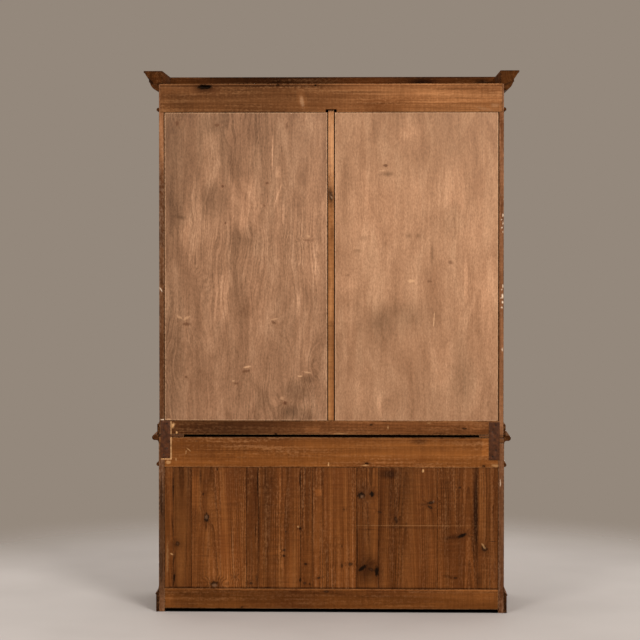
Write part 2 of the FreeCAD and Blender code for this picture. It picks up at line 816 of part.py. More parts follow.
def glazed_frame():
    """Two stiles and two rails, tenoned together and rebated for the glass."""
    back, front = glazed_back, upper_depth
    free, edge = glazed_inner_free, glazed_inner_edge
    rebate = glass_rebate
    free_stile = board(door_free, free, back, front, glazed_foot, glazed_top)
    hinge_stile = board(edge, glazed_edge, back, front, glazed_foot, glazed_top)
    low, high = glass_foot - rebate, glass_head + rebate
    free_stile = free_stile.cut(board(free - rebate, free, back, pane_shoulder, low, high))
    hinge_stile = hinge_stile.cut(board(edge, edge + rebate, back, pane_shoulder, low, high))
    bottom = board(free, edge, back, front, glazed_foot, glass_foot)
    bottom = bottom.cut(board(free, edge, back, pane_shoulder, low, glass_foot))
    top = board(free, edge, back, front, glass_head, glazed_top)
    top = top.cut(board(free, edge, back, pane_shoulder, glass_head, high))
    rails = []
    for rail, z0, z1 in ((bottom, glazed_foot, glass_foot), (top, glass_head, glazed_top)):
        free_tenon = side_tenon(free - tenon_length, free, z0, z1, front)
        edge_tenon = side_tenon(edge, edge + tenon_length, z0, z1, front)
        rails.append(joined([rail, free_tenon, edge_tenon]))
        free_stile = free_stile.cut(free_tenon)
        hinge_stile = hinge_stile.cut(edge_tenon)
    free_stile = free_stile.cut(lock_pocket(upper_depth, glazed_lock_z))
    recesses = [door_leaf_recess(upper_depth, glazed_edge, z) for z in glazed_hinge_heights()]
    bevels = pane_bevels()
    return [piece.cut(bevels) for piece in [free_stile, hinge_stile.cut(recesses)] + rails]


def pane_bevels():
    """The bevels round the panes, on the frame and the bars alike."""
    openings = [(x0, x1, z0, z1) for x0, x1 in bar_spans() for z0, z1 in pane_levels()]
    return [opening_bevel(*opening, upper_depth, bar_bevel) for opening in openings]


def bar_spans():
    """The two columns of panes: inner edge of the opening, edge of the upright bar, and back again."""
    half = bar_width / 2
    return [(glazed_inner_free, glazed_middle - half), (glazed_middle + half, glazed_inner_edge)]


def pane_levels():
    return [(glass_foot + k * row_pitch, glass_foot + k * row_pitch + pane_height) for k in range(pane_rows)]


def glazing_bars():
    """An upright bar and level bars each side of it, tongued between the panes, and the beads."""
    half, tongue = bar_width / 2, bar_tongue / 2
    middle = glazed_middle
    tongue_back = glazed_back + 2
    low, high = glass_foot - glass_rebate, glass_head + glass_rebate
    face = board(middle - half, middle + half, pane_shoulder, upper_depth, glass_foot, glass_head)
    spine = board(middle - tongue, middle + tongue, tongue_back, pane_shoulder, low, high)
    bars = [joined([face, spine])]
    for column, (x0, x1) in enumerate(bar_spans()):
        tongue_x0 = x0 - (glass_rebate if column == 0 else shoulder_width)
        tongue_x1 = x1 + (shoulder_width if column == 0 else glass_rebate)
        for row in range(1, pane_rows):
            z = bar_middle(row)
            face = board(x0, x1, pane_shoulder, upper_depth, z - half, z + half)
            spine = board(tongue_x0, tongue_x1, tongue_back, pane_shoulder, z - tongue, z + tongue)
            bars.append(joined([face, spine]))
    bevels = pane_bevels()
    return [bar.cut(bevels) for bar in bars] + glazing_beads()


def pane_rooms():
    """Each pane's rebate: its opening, grown to the tongues and the rebates around it."""
    rooms = []
    for column, (x0, x1) in enumerate(bar_spans()):
        left = x0 - (glass_rebate if column == 0 else shoulder_width)
        right = x1 + (shoulder_width if column == 0 else glass_rebate)
        for row, (z0, z1) in enumerate(pane_levels()):
            low = z0 - (glass_rebate if row == 0 else shoulder_width)
            high = z1 + (glass_rebate if row == pane_rows - 1 else shoulder_width)
            rooms.append((left, right, low, high, x0, x1, z0, z1))
    return rooms


def glazing_panes():
    play = 0.8
    front, back = pane_shoulder, pane_shoulder - glass_stock
    return [
        board(left + play, right - play, back, front, low + play, high - play)
        for left, right, low, high, *_ in pane_rooms()
    ]


def glazing_beads():
    """Four square beads behind each pane."""
    front = pane_shoulder - glass_stock
    back = front - bead_stock
    beads = []
    for left, right, low, high, x0, x1, z0, z1 in pane_rooms():
        beads.append(board(left, x0, back, front, low, high))
        beads.append(board(x1, right, back, front, low, high))
        beads.append(board(x0, x1, back, front, low, z0))
        beads.append(board(x0, x1, back, front, z1, high))
    return beads


# Panelled doors: again the right-hand one

def panel_openings():
    half = panel_muntin / 2
    return [(panel_inner_free, panel_middle - half), (panel_middle + half, panel_inner_edge)]


def panel_frame():
    """Two stiles, two rails and a muntin, tenoned together and grooved for the panels."""
    back, front = panel_back, lower_depth
    free, edge = panel_inner_free, panel_inner_edge
    z0, z1 = panel_open_foot, panel_open_head
    half = panel_muntin / 2
    g = panel_groove
    free_stile = board(door_free, free, back, front, panel_foot, panel_top)
    hinge_stile = board(edge, panel_edge, back, front, panel_foot, panel_top)
    bottom = board(free, edge, back, front, panel_foot, z0)
    top = board(free, edge, back, front, z1, panel_top)
    muntin = board(panel_middle - half, panel_middle + half, back, front, z0, z1)
    d0, d1 = groove_back - 0.1, groove_front + 0.1
    grooves = [board(x0 - g, x1 + g, d0, d1, z0 - g, z1 + g) for x0, x1 in panel_openings()]
    free_stile, hinge_stile, bottom, top, muntin = [
        piece.cut(grooves) for piece in (free_stile, hinge_stile, bottom, top, muntin)
    ]
    rails = []
    for rail, low, high in ((bottom, panel_foot, z0), (top, z1, panel_top)):
        free_tenon = side_tenon(free - tenon_length, free, low, high, front)
        edge_tenon = side_tenon(edge, edge + tenon_length, low, high, front)
        rails.append(joined([rail, free_tenon, edge_tenon]))
        free_stile = free_stile.cut(free_tenon)
        hinge_stile = hinge_stile.cut(edge_tenon)
    stub = 20.0
    foot = end_tenon(panel_middle - half, panel_middle + half, z0 - stub, z0, front)
    head = end_tenon(panel_middle - half, panel_middle + half, z1, z1 + stub, front)
    muntin = joined([muntin, foot, head])
    rails = [rails[0].cut(foot), rails[1].cut(head)]
    free_stile = free_stile.cut(lock_pocket(lower_depth, panel_lock_z))
    recesses = [door_leaf_recess(lower_depth, panel_edge, z) for z in panel_hinge_heights()]
    bevels = [opening_bevel(x0, x1, z0, z1, lower_depth, panel_frame_bevel) for x0, x1 in panel_openings()]
    return [piece.cut(bevels) for piece in [free_stile, hinge_stile.cut(recesses), muntin] + rails]


def fielded_panels():
    """Panels with a tongue all round, a bevel, a small step and a flat field."""
    panels = []
    z0, z1 = panel_open_foot, panel_open_head
    bevel_front, field_front = lower_depth - 4.5, lower_depth - 3.0
    tongue = panel_groove - 1
    for x0, x1 in panel_openings():
        plate = board(x0 - tongue, x1 + tongue, groove_back, groove_front, z0 - tongue, z1 + tongue)
        inset = 0.3
        ring = panel_bevel
        wires = []
        for grow, depth in ((inset, groove_front), (ring, bevel_front)):
            left, right, low, high = x0 + grow, x1 - grow, z0 + grow, z1 - grow
            corners = [(left, low), (right, low), (right, high), (left, high)]
            points = [Vec(x, back_y - depth, z) for x, z in corners]
            wires.append(Part.makePolygon(points + points[:1]))
        bevel = Part.makeLoft(wires, True, True)
        field = board(x0 + ring, x1 - ring, groove_front, field_front, z0 + ring, z1 - ring)
        panels.append(joined([plate, bevel, field]))
    return panels


# Drawers: the right-hand one

def drawer_tails(x0, x1):
    """Dovetails on the front end of a drawer side: each is wider at its end than at its root."""
    tails = []
    pitch = (drawer_side_head - drawer_foot) / tail_count
    root, tip = 0.27 * pitch, 0.36 * pitch
    d0, d1 = drawer_front_back, drawer_front_back + tail_length
    for k in range(tail_count):
        z = drawer_foot + (k + 0.5) * pitch
        tails.append(depth_prism([(d0, z - root), (d1, z - tip), (d1, z + tip), (d0, z + root)], x0, x1))
    return tails


def drawer_bottom_board():
    lip = 5.0
    x0, x1 = drawer_x0 + drawer_side_stock - lip, drawer_x1 - drawer_side_stock + lip
    return board(x0, x1, drawer_rear, drawer_front_back + lip, bottom_foot, bottom_foot + drawer_bottom_stock)


def drawer_knob_places():
    width = drawer_x1 - drawer_x0
    return [drawer_x0 + width / 5, drawer_x1 - width / 5]


def drawer_parts():
    """The front, then the box behind it: two sides, a back and a bottom."""
    x0, x1 = drawer_x0, drawer_x1
    t = drawer_side_stock
    front = board(x0, x1, drawer_front_back, lower_depth, drawer_foot, drawer_head)
    bottom = drawer_bottom_board()
    front = front.cut(bottom)
    sides = []
    for a, b in ((x0, x0 + t), (x1 - t, x1)):
        tails = drawer_tails(a, b)
        blank = board(a, b, drawer_rear, drawer_front_back, drawer_foot, drawer_side_head)
        sides.append(joined([blank] + tails).cut(bottom))
        front = front.cut(tails)
    z = (drawer_foot + drawer_head) / 2
    for x in drawer_knob_places():
        front = front.cut(rod(x, drawer_front_back, lower_depth, z, knob_dowel + 0.1))
    floor_top = bottom_foot + drawer_bottom_stock
    back = board(x0 + t, x1 - t, drawer_rear, drawer_rear + t, floor_top, drawer_side_head)
    return [front], sides + [back, bottom]


def drawer_knobs():
    """Turned knobs: a foot, a waist, a rounded head, and a dowel through the drawer front."""
    z = (drawer_foot + drawer_head) / 2
    knobs = []
    for x in drawer_knob_places():
        outline = [
            (0, -door_stock + 2),
            (knob_dowel, -door_stock + 2),
            (knob_dowel, 0),
            (13, 0),
            (13, 2.5),
            ((8.5, 6), (8, 10)),
            ((9.5, 13), (14, 15)),
            ((17, 19), (14, 24)),
            ((9.5, knob_reach - 0.8), (4, knob_reach)),
            (0, knob_reach),
        ]
        face = outline_face(lambda r, out: Vec(x + r, back_y - lower_depth - out, z), outline)
        knobs.append(face.revolve(Vec(x, back_y - lower_depth, z), Vec(0, 1, 0), 360))
    return knobs


# The whole object, as named nodes

def one_piece_nodes():
    right_side, right_lower = upper_sides(), lower_side()
    panel = upper_back_panel()
    return {
        "upper_side_left": mirrored(right_side),
        "upper_side_right": right_side,
        "upper_roof": upper_level(roof_top),
        "upper_floor": upper_level(upper_floor_top),
        "upper_back_top_rail": upper_back_top_rail(),
        "upper_back_bottom_rail": upper_back_bottom_rail(),
        "upper_back_muntin": upper_back_muntin(),
        "upper_back_panel_left": mirrored(panel),
        "upper_back_panel_right": panel,
        "waist_top": waist_top(),
        "lower_side_left": mirrored(right_lower),
        "lower_side_right": right_lower,
        "lower_floor": lower_floor(),
        "lower_partition": lower_partition(),
    }


def carcass_nodes():
    nodes = {name: [shape] for name, shape in one_piece_nodes().items()}
    nodes["upper_face_frame"] = upper_face_frame()
    nodes["cornice_moulding"] = cornice()
    nodes["bead_mouldings"] = bead(upper_half, upper_depth, upper_bead_foot)
    nodes["bead_mouldings"] += bead(lower_half, lower_depth, waist_bead_foot)
    nodes["upper_plinth_moulding"] = upper_plinth()
    nodes["upper_shelves"] = upper_shelves()
    nodes["shelf_racks"] = shelf_racks() + shelf_rests()
    nodes["case_bearers"] = case_bearers()
    nodes["waist_moulding"] = waist_moulding()
    nodes["lower_face_frame"] = lower_face_frame()
    nodes["lower_back_rails"] = lower_back_rails()
    nodes["lower_back_boards"] = lower_back_boards()
    nodes["lower_shelves"] = lower_shelves()
    nodes["drawer_runners"] = drawer_runners()
    nodes["base_skirting"] = base_skirting()
    nodes["door_stops"] = door_stops()
    plates, screws, rooms = tie_plates()
    for name in ("upper_side_left", "upper_side_right", "lower_side_left", "lower_side_right",
                 "upper_back_bottom_rail", "lower_back_rails", "case_bearers", "waist_top"):
        nodes[name] = [shape.cut(rooms) for shape in nodes[name]]
    nodes["joining_plates"] = plates
    nodes["joining_screws"] = screws
    return nodes


def hinged_nodes():
    """The doors and their hardware, and the hinge leaves and strikes that stay on the case."""
    nodes = {}
    case_leaves, leaves = [], {"glazed": [], "panel": []}
    rows = [("glazed", upper_depth, glazed_edge, z) for z in glazed_hinge_heights()]
    rows += [("panel", lower_depth, panel_edge, z) for z in panel_hinge_heights()]
    for door, depth, edge, z in rows:
        case_leaf, door_leaf = hinge(depth, edge, z)
        case_leaves += both(case_leaf)
        leaves[door].append(door_leaf)
    strikes = strike_plates(upper_depth, glazed_lock_z) + strike_plates(lower_depth, panel_lock_z)
    nodes["case_hinge_leaves_and_strikes"] = case_leaves + strikes
    right = {
        "glazed_door_{}_frame": glazed_frame(),
        "glazed_door_{}_bars": glazing_bars(),
        "glazed_door_{}_panes": glazing_panes(),
        "glazed_door_{}_hinges_and_lock": leaves["glazed"] + lock(upper_depth, glazed_lock_z),
        "glazed_door_{}_bolt": [lock_bolt(upper_depth, glazed_lock_z)],
        "glazed_door_{}_key": [key(upper_depth, glazed_lock_z)],
        "panel_door_{}_frame": panel_frame(),
        "panel_door_{}_panels": fielded_panels(),
        "panel_door_{}_hinges_and_lock": leaves["panel"] + lock(lower_depth, panel_lock_z),
        "panel_door_{}_bolt": [lock_bolt(lower_depth, panel_lock_z)],
        "panel_door_{}_key": [key(lower_depth, panel_lock_z)],
    }
    for name, shapes in right.items():
        nodes[name.format("right")] = shapes
        nodes[name.format("left")] = [mirrored(shape) for shape in shapes]
    return nodes


def drawer_nodes():
    front, box = drawer_parts()
    right = {"drawer_{}_front": front, "drawer_{}_box": box, "drawer_{}_knobs": drawer_knobs()}
    nodes = {}
    for name, shapes in right.items():
        nodes[name.format("right")] = shapes
        nodes[name.format("left")] = [mirrored(shape) for shape in shapes]
    return nodes


def all_nodes():
    nodes = carcass_nodes()
    nodes.update(hinged_nodes())
    nodes.update(drawer_nodes())
    return nodes


def write_nodes(nodes):
    os.makedirs("parts", exist_ok=True)
    for name, shapes in nodes.items():
        solids = [solid for shape in shapes for solid in shape.Solids]
        shape = solids[0] if len(solids) == 1 else Part.makeCompound(solids)
        shape.exportStep("parts/" + name + ".step")
    print(len(nodes), "nodes,", sum(len(s) for s in nodes.values()), "solids")


write_nodes(all_nodes())
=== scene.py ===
import json
import math
import random
import bpy
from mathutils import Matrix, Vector


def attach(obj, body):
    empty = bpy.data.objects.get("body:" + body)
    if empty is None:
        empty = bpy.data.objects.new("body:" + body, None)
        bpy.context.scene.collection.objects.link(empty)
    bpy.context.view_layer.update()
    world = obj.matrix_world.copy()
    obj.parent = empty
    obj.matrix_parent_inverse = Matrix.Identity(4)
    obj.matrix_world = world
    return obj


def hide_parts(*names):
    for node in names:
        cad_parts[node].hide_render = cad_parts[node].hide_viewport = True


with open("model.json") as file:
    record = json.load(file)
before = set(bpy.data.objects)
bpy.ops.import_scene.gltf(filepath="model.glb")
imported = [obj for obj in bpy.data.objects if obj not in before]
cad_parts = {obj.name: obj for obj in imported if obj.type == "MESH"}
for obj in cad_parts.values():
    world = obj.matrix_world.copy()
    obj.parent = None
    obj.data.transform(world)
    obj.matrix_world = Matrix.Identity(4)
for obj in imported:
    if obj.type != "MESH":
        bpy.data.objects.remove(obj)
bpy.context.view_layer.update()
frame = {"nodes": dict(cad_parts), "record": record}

bodyOf = {node: body for body, group in frame["record"]["behaviour"]["bodies"].items() for node in group}
print("frame loaded:", len(bodyOf), "nodes")


def clearSelection():
    if bpy.context.object and bpy.context.object.mode != "OBJECT":
        bpy.ops.object.mode_set(mode="OBJECT")
    bpy.ops.object.select_all(action="DESELECT")


def pickOnly(piece):
    clearSelection()
    piece.select_set(True)
    bpy.context.view_layer.objects.active = piece


def editAll(piece):
    pickOnly(piece)
    bpy.ops.object.mode_set(mode="EDIT")
    bpy.ops.mesh.select_all(action="SELECT")


def applyModifiers(piece):
    pickOnly(piece)
    for modifier in list(piece.modifiers):
        bpy.ops.object.modifier_apply(modifier=modifier.name)


# nodes of a finish: small helpers that keep the shader trees short

def colour(red, green, blue):  # a screen colour, 0 to 255, as Blender's linear one
    shares = [channel / 255 for channel in (red, green, blue)]
    return tuple(s / 12.92 if s <= 0.04045 else ((s + 0.055) / 1.055) ** 2.4 for s in shares) + (1.0,)


def shades(look):  # all the colours of a look, made linear
    return {key: colour(*value) for key, value in look.items() if isinstance(value, tuple) and len(value) == 3}


def startFinish(name):
    material = bpy.data.materials.new(name)
    material.use_nodes = True
    tree = material.node_tree
    return material, tree, tree.nodes["Principled BSDF"]


def plug(tree, value, socket):
    if isinstance(value, bpy.types.NodeSocket):
        tree.links.new(value, socket)
    else:
        socket.default_value = value


def fill(tree, node, values):
    for key, value in values.items():
        plug(tree, value, node.inputs[key])


def put(tree, kind, values=None, **settings):
    made = tree.nodes.new("ShaderNode" + kind)
    for key, value in settings.items():
        setattr(made, key, value)
    fill(tree, made, values or {})
    return made


def calc(tree, operation, *values):
    return put(tree, "Math", dict(enumerate(values)), operation=operation).outputs[0]


def times(tree, value, share):
    return calc(tree, "MULTIPLY", value, share)


def weighted(tree, value, weight, base):
    return calc(tree, "MULTIPLY_ADD", value, weight, base)


def sway(tree, pattern, weight, base):  # adds a 0 to 1 pattern about its middle
    return weighted(tree, calc(tree, "SUBTRACT", pattern, 0.5), weight, base)


def fade(tree, value, low, high, atLow=0.0, atHigh=1.0):  # smooth step between two values
    return put(tree, "MapRange", {0: value, 1: low, 2: high, 3: atLow, 4: atHigh},
               interpolation_type="SMOOTHSTEP").outputs[0]


def vector(tree, operation, *values):
    return put(tree, "VectorMath", dict(enumerate(values)), operation=operation).outputs[0]


def length(tree, value):
    return put(tree, "VectorMath", {0: value}, operation="LENGTH").outputs["Value"]


def parts(tree, value):
    return put(tree, "SeparateXYZ", {0: value}).outputs


def objectPlace(tree):
    return put(tree, "TexCoord").outputs["Object"]


def cloud(tree, spot, stretch, detail=2.0, roughness=0.5, distortion=0.0):  # soft noise, 0 to 1
    return put(tree, "TexNoise", {"Vector": vector(tree, "MULTIPLY", spot, stretch), "Scale": 1.0, "Detail": detail,
                                  "Roughness": roughness, "Distortion": distortion}).outputs[0]


def tint(tree, amount, under, over, mode="MIX"):
    return put(tree, "Mix", {0: amount, 6: under, 7: over}, data_type="RGBA", blend_type=mode).outputs[2]


def warmShade(tree, base, amount, warmth):  # darkens blue more than red, as stain does
    shares = [calc(tree, "POWER", amount, 1.0 + warmth * step) for step in (-1.0, 0.2, 2.2)]
    return tint(tree, 1.0, base, put(tree, "CombineColor", dict(enumerate(shares))).outputs[0], "MULTIPLY")


def ramp(tree, value, stops):
    made = put(tree, "ValToRGB", {0: value})
    points = made.color_ramp.elements
    while len(points) < len(stops):
        points.new(0.5)
    for point, (place, shade) in zip(points, stops):
        point.position = place
        point.color = shade if isinstance(shade, tuple) else (shade, shade, shade, 1.0)
    return made.outputs[0]


def bumped(tree, height, strength, distance):
    return put(tree, "Bump", {"Strength": strength, "Distance": distance, "Height": height}).outputs[0]


def readTag(tree, name, output="Vector"):
    return put(tree, "Attribute", attribute_name=name).outputs[output]


def readBoard(tree, step):  # the tags of a board, and a place in the noise that no other board has
    place = readTag(tree, "boardPos")
    half = parts(tree, readTag(tree, "boardHalf"))
    seed = readTag(tree, "boardSeed", "Fac")
    jump = put(tree, "VectorMath", {0: step, "Scale": seed}, operation="SCALE").outputs[0]
    return parts(tree, place), half, seed, vector(tree, "ADD", place, jump)


def spread(tree, seed, factor):  # another 0 to 1 number for each board
    return calc(tree, "FRACT", times(tree, seed, factor))


# marks on the photographed faces: knots and their paler hearts, soft stains, wiped patches and chips.
# each is (x, z, half width, half height) in millimetres on the face, an amount in percent, and a turn in degrees
# if it has one; a negative stain or wipe makes the wood paler, and a knot of 0 percent only bends the grain

# some of the stains and knots in the lists below are painted shade and painted highlights; the comments by those
# lists say which
markEdge = {  # where a mark begins and where it is full, in half sizes
    "stain": (1.0, 0.1), "wipe": (1.46, 0.98), "chip": (1.9, 1.2), "heart": (1.9, 1.2), "knot": (2.05, 1.4),
    "halo": (3.0, 0.9), "knotHeart": (1.4, 0.9),
}
markLook = {"through": 1000.0, "crumble": 1.8, "brushed": 0.8, "straight": 0.1}
knotLook = {"heartFrom": 0.008, "heart": 0.25, "push": 0.8}


def readMarks(tree, marks, crumble, streaks):
    place = objectPlace(tree)
    sums = dict.fromkeys(("knot", "heart", "halo", "push", "stain", "chip"), 0.0)

    def keepMost(kind, level):
        sums[kind] = calc(tree, "MAXIMUM", sums[kind], level)

    for kind, mark in ((kind, mark) for kind, group in marks.items() for mark in group):
        x, z, halfWide, halfHigh = (n / 1000 for n in mark[:4])
        amount, turn = mark[4] / 100, math.radians(sum(mark[5:]))
        local = put(tree, "Mapping", {"Vector": place, "Location": (x, 0.0, z), "Rotation": (0.0, turn, 0.0),
                                      "Scale": (halfWide, markLook["through"], halfHigh)},
                    vector_type="TEXTURE").outputs[0]
        if kind == "wipe":  # straight sides and brushed-out ends
            aside, _, up = parts(tree, vector(tree, "ABSOLUTE", local))
            away = calc(tree, "MAXIMUM", calc(tree, "SUBTRACT", aside, markLook["straight"]), up)
            away = weighted(tree, streaks, markLook["brushed"], away)
        else:
            away = length(tree, local)
        if kind in ("stain", "wipe"):
            sums["stain"] = calc(tree, "ADD", sums["stain"], fade(tree, away, *markEdge[kind], 0.0, amount))
            continue
        rough = weighted(tree, crumble, markLook["crumble"], away)
        keepMost(kind, fade(tree, rough, *markEdge[kind], 0.0, amount))
        if kind != "knot":
            continue
        if halfWide >= knotLook["heartFrom"] and amount < 1.0:  # a brown heart, unless the knot has fallen out
            keepMost("heart", fade(tree, rough, *markEdge["knotHeart"], 0.0, knotLook["heart"] * amount))
        halo = fade(tree, away, *markEdge["halo"])
        keepMost("halo", times(tree, halo, amount))
        aside = times(tree, parts(tree, local)[0], halo)
        sums["push"] = weighted(tree, aside, halfWide * knotLook["push"], sums["push"])
    return sums


strayLook = {"stretch": (3.0, 5.2, 0.0), "lift": (0.0, 0.0, 7.3), "size": (0.045, 0.022), "knot": (1.1, 0.75),
             "halo": (3.2, 0.9), "push": 0.012}


def strayKnots(tree, spot, share):  # knots where the photo shows nothing to follow
    flat = vector(tree, "ADD", vector(tree, "MULTIPLY", spot, strayLook["stretch"]), strayLook["lift"])
    cells = put(tree, "TexVoronoi", {"Vector": flat, "Scale": 1.0})
    chosen = put(tree, "SeparateColor", {0: cells.outputs["Color"]}).outputs
    kept = calc(tree, "LESS_THAN", chosen[0], share)
    size = weighted(tree, chosen[1], *strayLook["size"])
    away = calc(tree, "DIVIDE", cells.outputs["Distance"], size)
    knot, halo = (times(tree, fade(tree, away, *strayLook[kind]), kept) for kind in ("knot", "halo"))
    return {"knot": knot, "halo": halo, "push": times(tree, halo, strayLook["push"]),
            "heart": 0.0, "stain": 0.0, "chip": 0.0}


def arrisDistance(tree, place, half):  # how far a point of a board's face is from its nearest arris, and its end
    ends, sides, faces = (calc(tree, "SUBTRACT", h, calc(tree, "ABSOLUTE", p)) for h, p in zip(half, place))
    both = calc(tree, "MINIMUM", ends, sides)
    either = calc(tree, "MINIMUM", calc(tree, "MAXIMUM", ends, sides), faces)
    return calc(tree, "MAXIMUM", both, either), ends


woodNoise = {  # stretch along, across and through a board, then detail, roughness and distortion
    "crumble": ((80.0, 170.0, 170.0), 5.0, 0.66), "strands": ((3.0, 95.0, 95.0), 3.0, 0.6),
    "slow": ((1.3, 6.0, 6.0), 2.0), "quick": ((16.0, 26.0, 26.0), 2.0), "figure": ((1.8, 14.0, 14.0), 2.0),
    "fibres": ((7.0, 240.0, 240.0), 2.0), "pores": ((22.0, 900.0, 900.0), 1.0),
    "mottle": ((75.0, 125.0, 125.0), 3.0, 0.65), "saw": ((120.0, 9.0, 9.0), 3.0, 0.6),
    "zones": ((1.0, 13.0, 13.0), 2.0, 0.5, 0.3), "blotch": ((2.6, 7.0, 7.0), 3.0),
}
woodSet = {"jump": (37.1, 11.7, 23.9), "dice": (17.31, 41.7, 7.7), "lively": (0.38, 0.64), "darkest": 0.12,
           "endShade": 0.72, "endGrain": (0.0009, 0.0004), "warmth": 0.06, "wearWidth": (0.004, 0.0006),
           "halo": 0.4, "bumpDepth": 0.0006}
ringStops = [(0.0, 0.0), (0.4, 0.06), (0.84, 0.8), (0.94, 1.0), (1.0, 0.0)]  # pale early wood, dark late wood


def woodFinish(name, look, marks=None):
    material, tree, shader = startFinish(name)
    shade = shades(look)
    (along, across, thick), half, seed, spot = readBoard(tree, woodSet["jump"])
    tone = readTag(tree, "boardTone", "Fac")

    def noise(kind):
        return cloud(tree, spot, *woodNoise[kind])

    crumble, strands = noise("crumble"), noise("strands")
    sums = strayKnots(tree, spot, look["knotShare"]) if marks is None else readMarks(tree, marks, crumble, strands)

    # growth rings: distance from a heart that lies behind the face and leans along the board
    slow, quick = (calc(tree, "SUBTRACT", noise(kind), 0.5) for kind in ("slow", "quick"))
    figure = fade(tree, noise("figure"), *woodSet["lively"], *look["figure"])
    aside, behind, tilt = (spread(tree, seed, factor) for factor in woodSet["dice"])
    side = sway(tree, aside, look["heartSide"], across)
    side = weighted(tree, slow, look["wander"] * 5, side)
    side = calc(tree, "ADD", side, sums["push"])
    deep = weighted(tree, behind, look["heartDeep"], look["heartDeep"] * 0.4)
    deep = calc(tree, "ADD", thick, deep)
    lean = sway(tree, tilt, look["taper"], 0.0)
    radius = calc(tree, "SQRT", weighted(tree, side, side, times(tree, deep, deep)))
    radius = weighted(tree, along, lean, radius)
    radius = weighted(tree, slow, look["wander"] * 2, radius)
    radius = weighted(tree, times(tree, quick, figure), look["wander"], radius)
    rings = ramp(tree, calc(tree, "FRACT", calc(tree, "DIVIDE", radius, look["ringWidth"])), ringStops)
    lane = put(tree, "CombineXYZ", {0: radius, 1: along, 2: seed}).outputs[0]
    bands = cloud(tree, lane, (look["bands"], 0.8, 50.0), 3.0, 0.6)
    fibres, pores, mottle, blotch = (noise(kind) for kind in ("fibres", "pores", "mottle", "blotch"))

    # colour, from broad bands down to fibres
    base = ramp(tree, bands, [(0.3, shade["dark"]), (0.5, shade["mid"]), (0.72, shade["pale"])])
    ringed = times(tree, times(tree, rings, look["rings"]), figure)
    base = tint(tree, ringed, base, shade["ring"])
    base = tint(tree, fade(tree, blotch, 0.45, 0.75, 0.0, look["blotch"]), base, shade["blotchShade"])
    fine = 0.0
    for pattern, weight in ((fibres, "fibre"), (strands, "strands"), (mottle, "mottle")):
        fine = sway(tree, pattern, look[weight], fine)
    shadeBy = weighted(tree, fine, figure, sway(tree, pores, look["fibre"] * 0.6, 1.0))
    for kind in ("saw", "zones"):
        shadeBy = sway(tree, noise(kind), look[kind], shadeBy)

    # stains, grime in the joints, darker end grain
    edge, endOff = arrisDistance(tree, (along, across, thick), half)
    ragged = sway(tree, strands, look["grimeWidth"] * 2, edge)
    grime = fade(tree, ragged, look["grimeWidth"], 0.0, 0.0, look["grime"])
    unstained = calc(tree, "MAXIMUM", calc(tree, "SUBTRACT", 1.0, sums["stain"]), woodSet["darkest"])
    endGrain = fade(tree, endOff, *woodSet["endGrain"], 1.0, woodSet["endShade"])
    for share in (tone, unstained, calc(tree, "SUBTRACT", 1.0, grime), endGrain):
        shadeBy = times(tree, shadeBy, share)
    base = warmShade(tree, base, shadeBy, woodSet["warmth"])

    # dust, worn arrises and marks lie on top
    bleached = put(tree, "MapRange", {0: tone, 1: 0.4, 2: 1.2, 4: 1.3}).outputs[0]  # pale boards are also greyer
    dusty = fade(tree, calc(tree, "ADD", strands, mottle), 0.95, 1.3, 0.0, look["dust"])
    dusty = times(tree, times(tree, dusty, bleached), figure)
    base = tint(tree, dusty, base, shade["dustShade"])
    worn = times(tree, fade(tree, edge, *woodSet["wearWidth"]),
                 fade(tree, crumble, *look["wearCover"], 0.0, look["wear"]))
    base = tint(tree, worn, base, shade["wearShade"])
    base = tint(tree, times(tree, sums["halo"], woodSet["halo"]), base, shade["haloShade"])
    for kind in ("knot", "heart", "chip"):
        base = tint(tree, sums[kind], base, shade[kind + "Shade"])

    gloss = weighted(tree, calc(tree, "ADD", blotch, rings), 0.5, times(tree, grime, 0.4))
    height = weighted(tree, fibres, 0.5, times(tree, pores, 0.35))
    height = weighted(tree, mottle, 0.6, height)
    fill(tree, shader, {"Base Color": base, "Roughness": fade(tree, gloss, 0.1, 0.9, *look["rough"]),
                        "Normal": bumped(tree, height, look["bump"], woodSet["bumpDepth"]),
                        "Specular IOR Level": look["shine"]})
    return material


backWood = {
    "pale": (119, 72, 33), "mid": (101, 57, 23), "dark": (79, 42, 13), "ring": (48, 22, 5), "ringWidth": 0.0085,
    "rings": 0.56, "heartSide": 0.10, "heartDeep": 0.035, "taper": 0.07, "wander": 0.0042, "bands": 42.0,
    "fibre": 0.46, "strands": 0.44, "mottle": 0.56, "saw": 0.68, "zones": 1.2, "dust": 0.14,
    "dustShade": (172, 126, 86), "blotch": 0.72, "blotchShade": (88, 47, 18), "grime": 0.8, "grimeWidth": 0.0045,
    "wear": 0.25, "wearCover": (0.45, 0.62), "wearShade": (150, 100, 58), "knotShare": 0.25,
    "haloShade": (66, 33, 10), "knotShade": (20, 9, 2), "heartShade": (116, 84, 60), "chipShade": (196, 152, 102),
    "rough": (0.6, 0.85), "bump": 0.5, "shine": 0.05, "figure": (0.5, 1.35),
}
railWood = dict(
    backWood, pale=(134, 81, 36), mid=(116, 68, 28), dark=(98, 54, 19), ring=(74, 37, 10), rings=0.3, heartSide=0.2,
    heartDeep=0.06, taper=0.03, bands=55.0, fibre=0.3, strands=0.32, mottle=0.52, saw=0.72, zones=0.95, dust=0.2,
    dustShade=(186, 138, 94), wear=0.35, wearCover=(0.36, 0.56), wearShade=(186, 134, 88),
)
topWood = dict(
    railWood, pale=(158, 108, 68), mid=(138, 90, 53), dark=(116, 72, 39), ring=(88, 51, 25),
    chipShade=(206, 168, 130),
)
lowWood = dict(
    railWood, pale=(122, 77, 43), mid=(106, 64, 33), dark=(88, 50, 23), ring=(60, 31, 10), mottle=0.66, saw=0.8,
    zones=1.3, dust=0.12, bands=30.0,
)
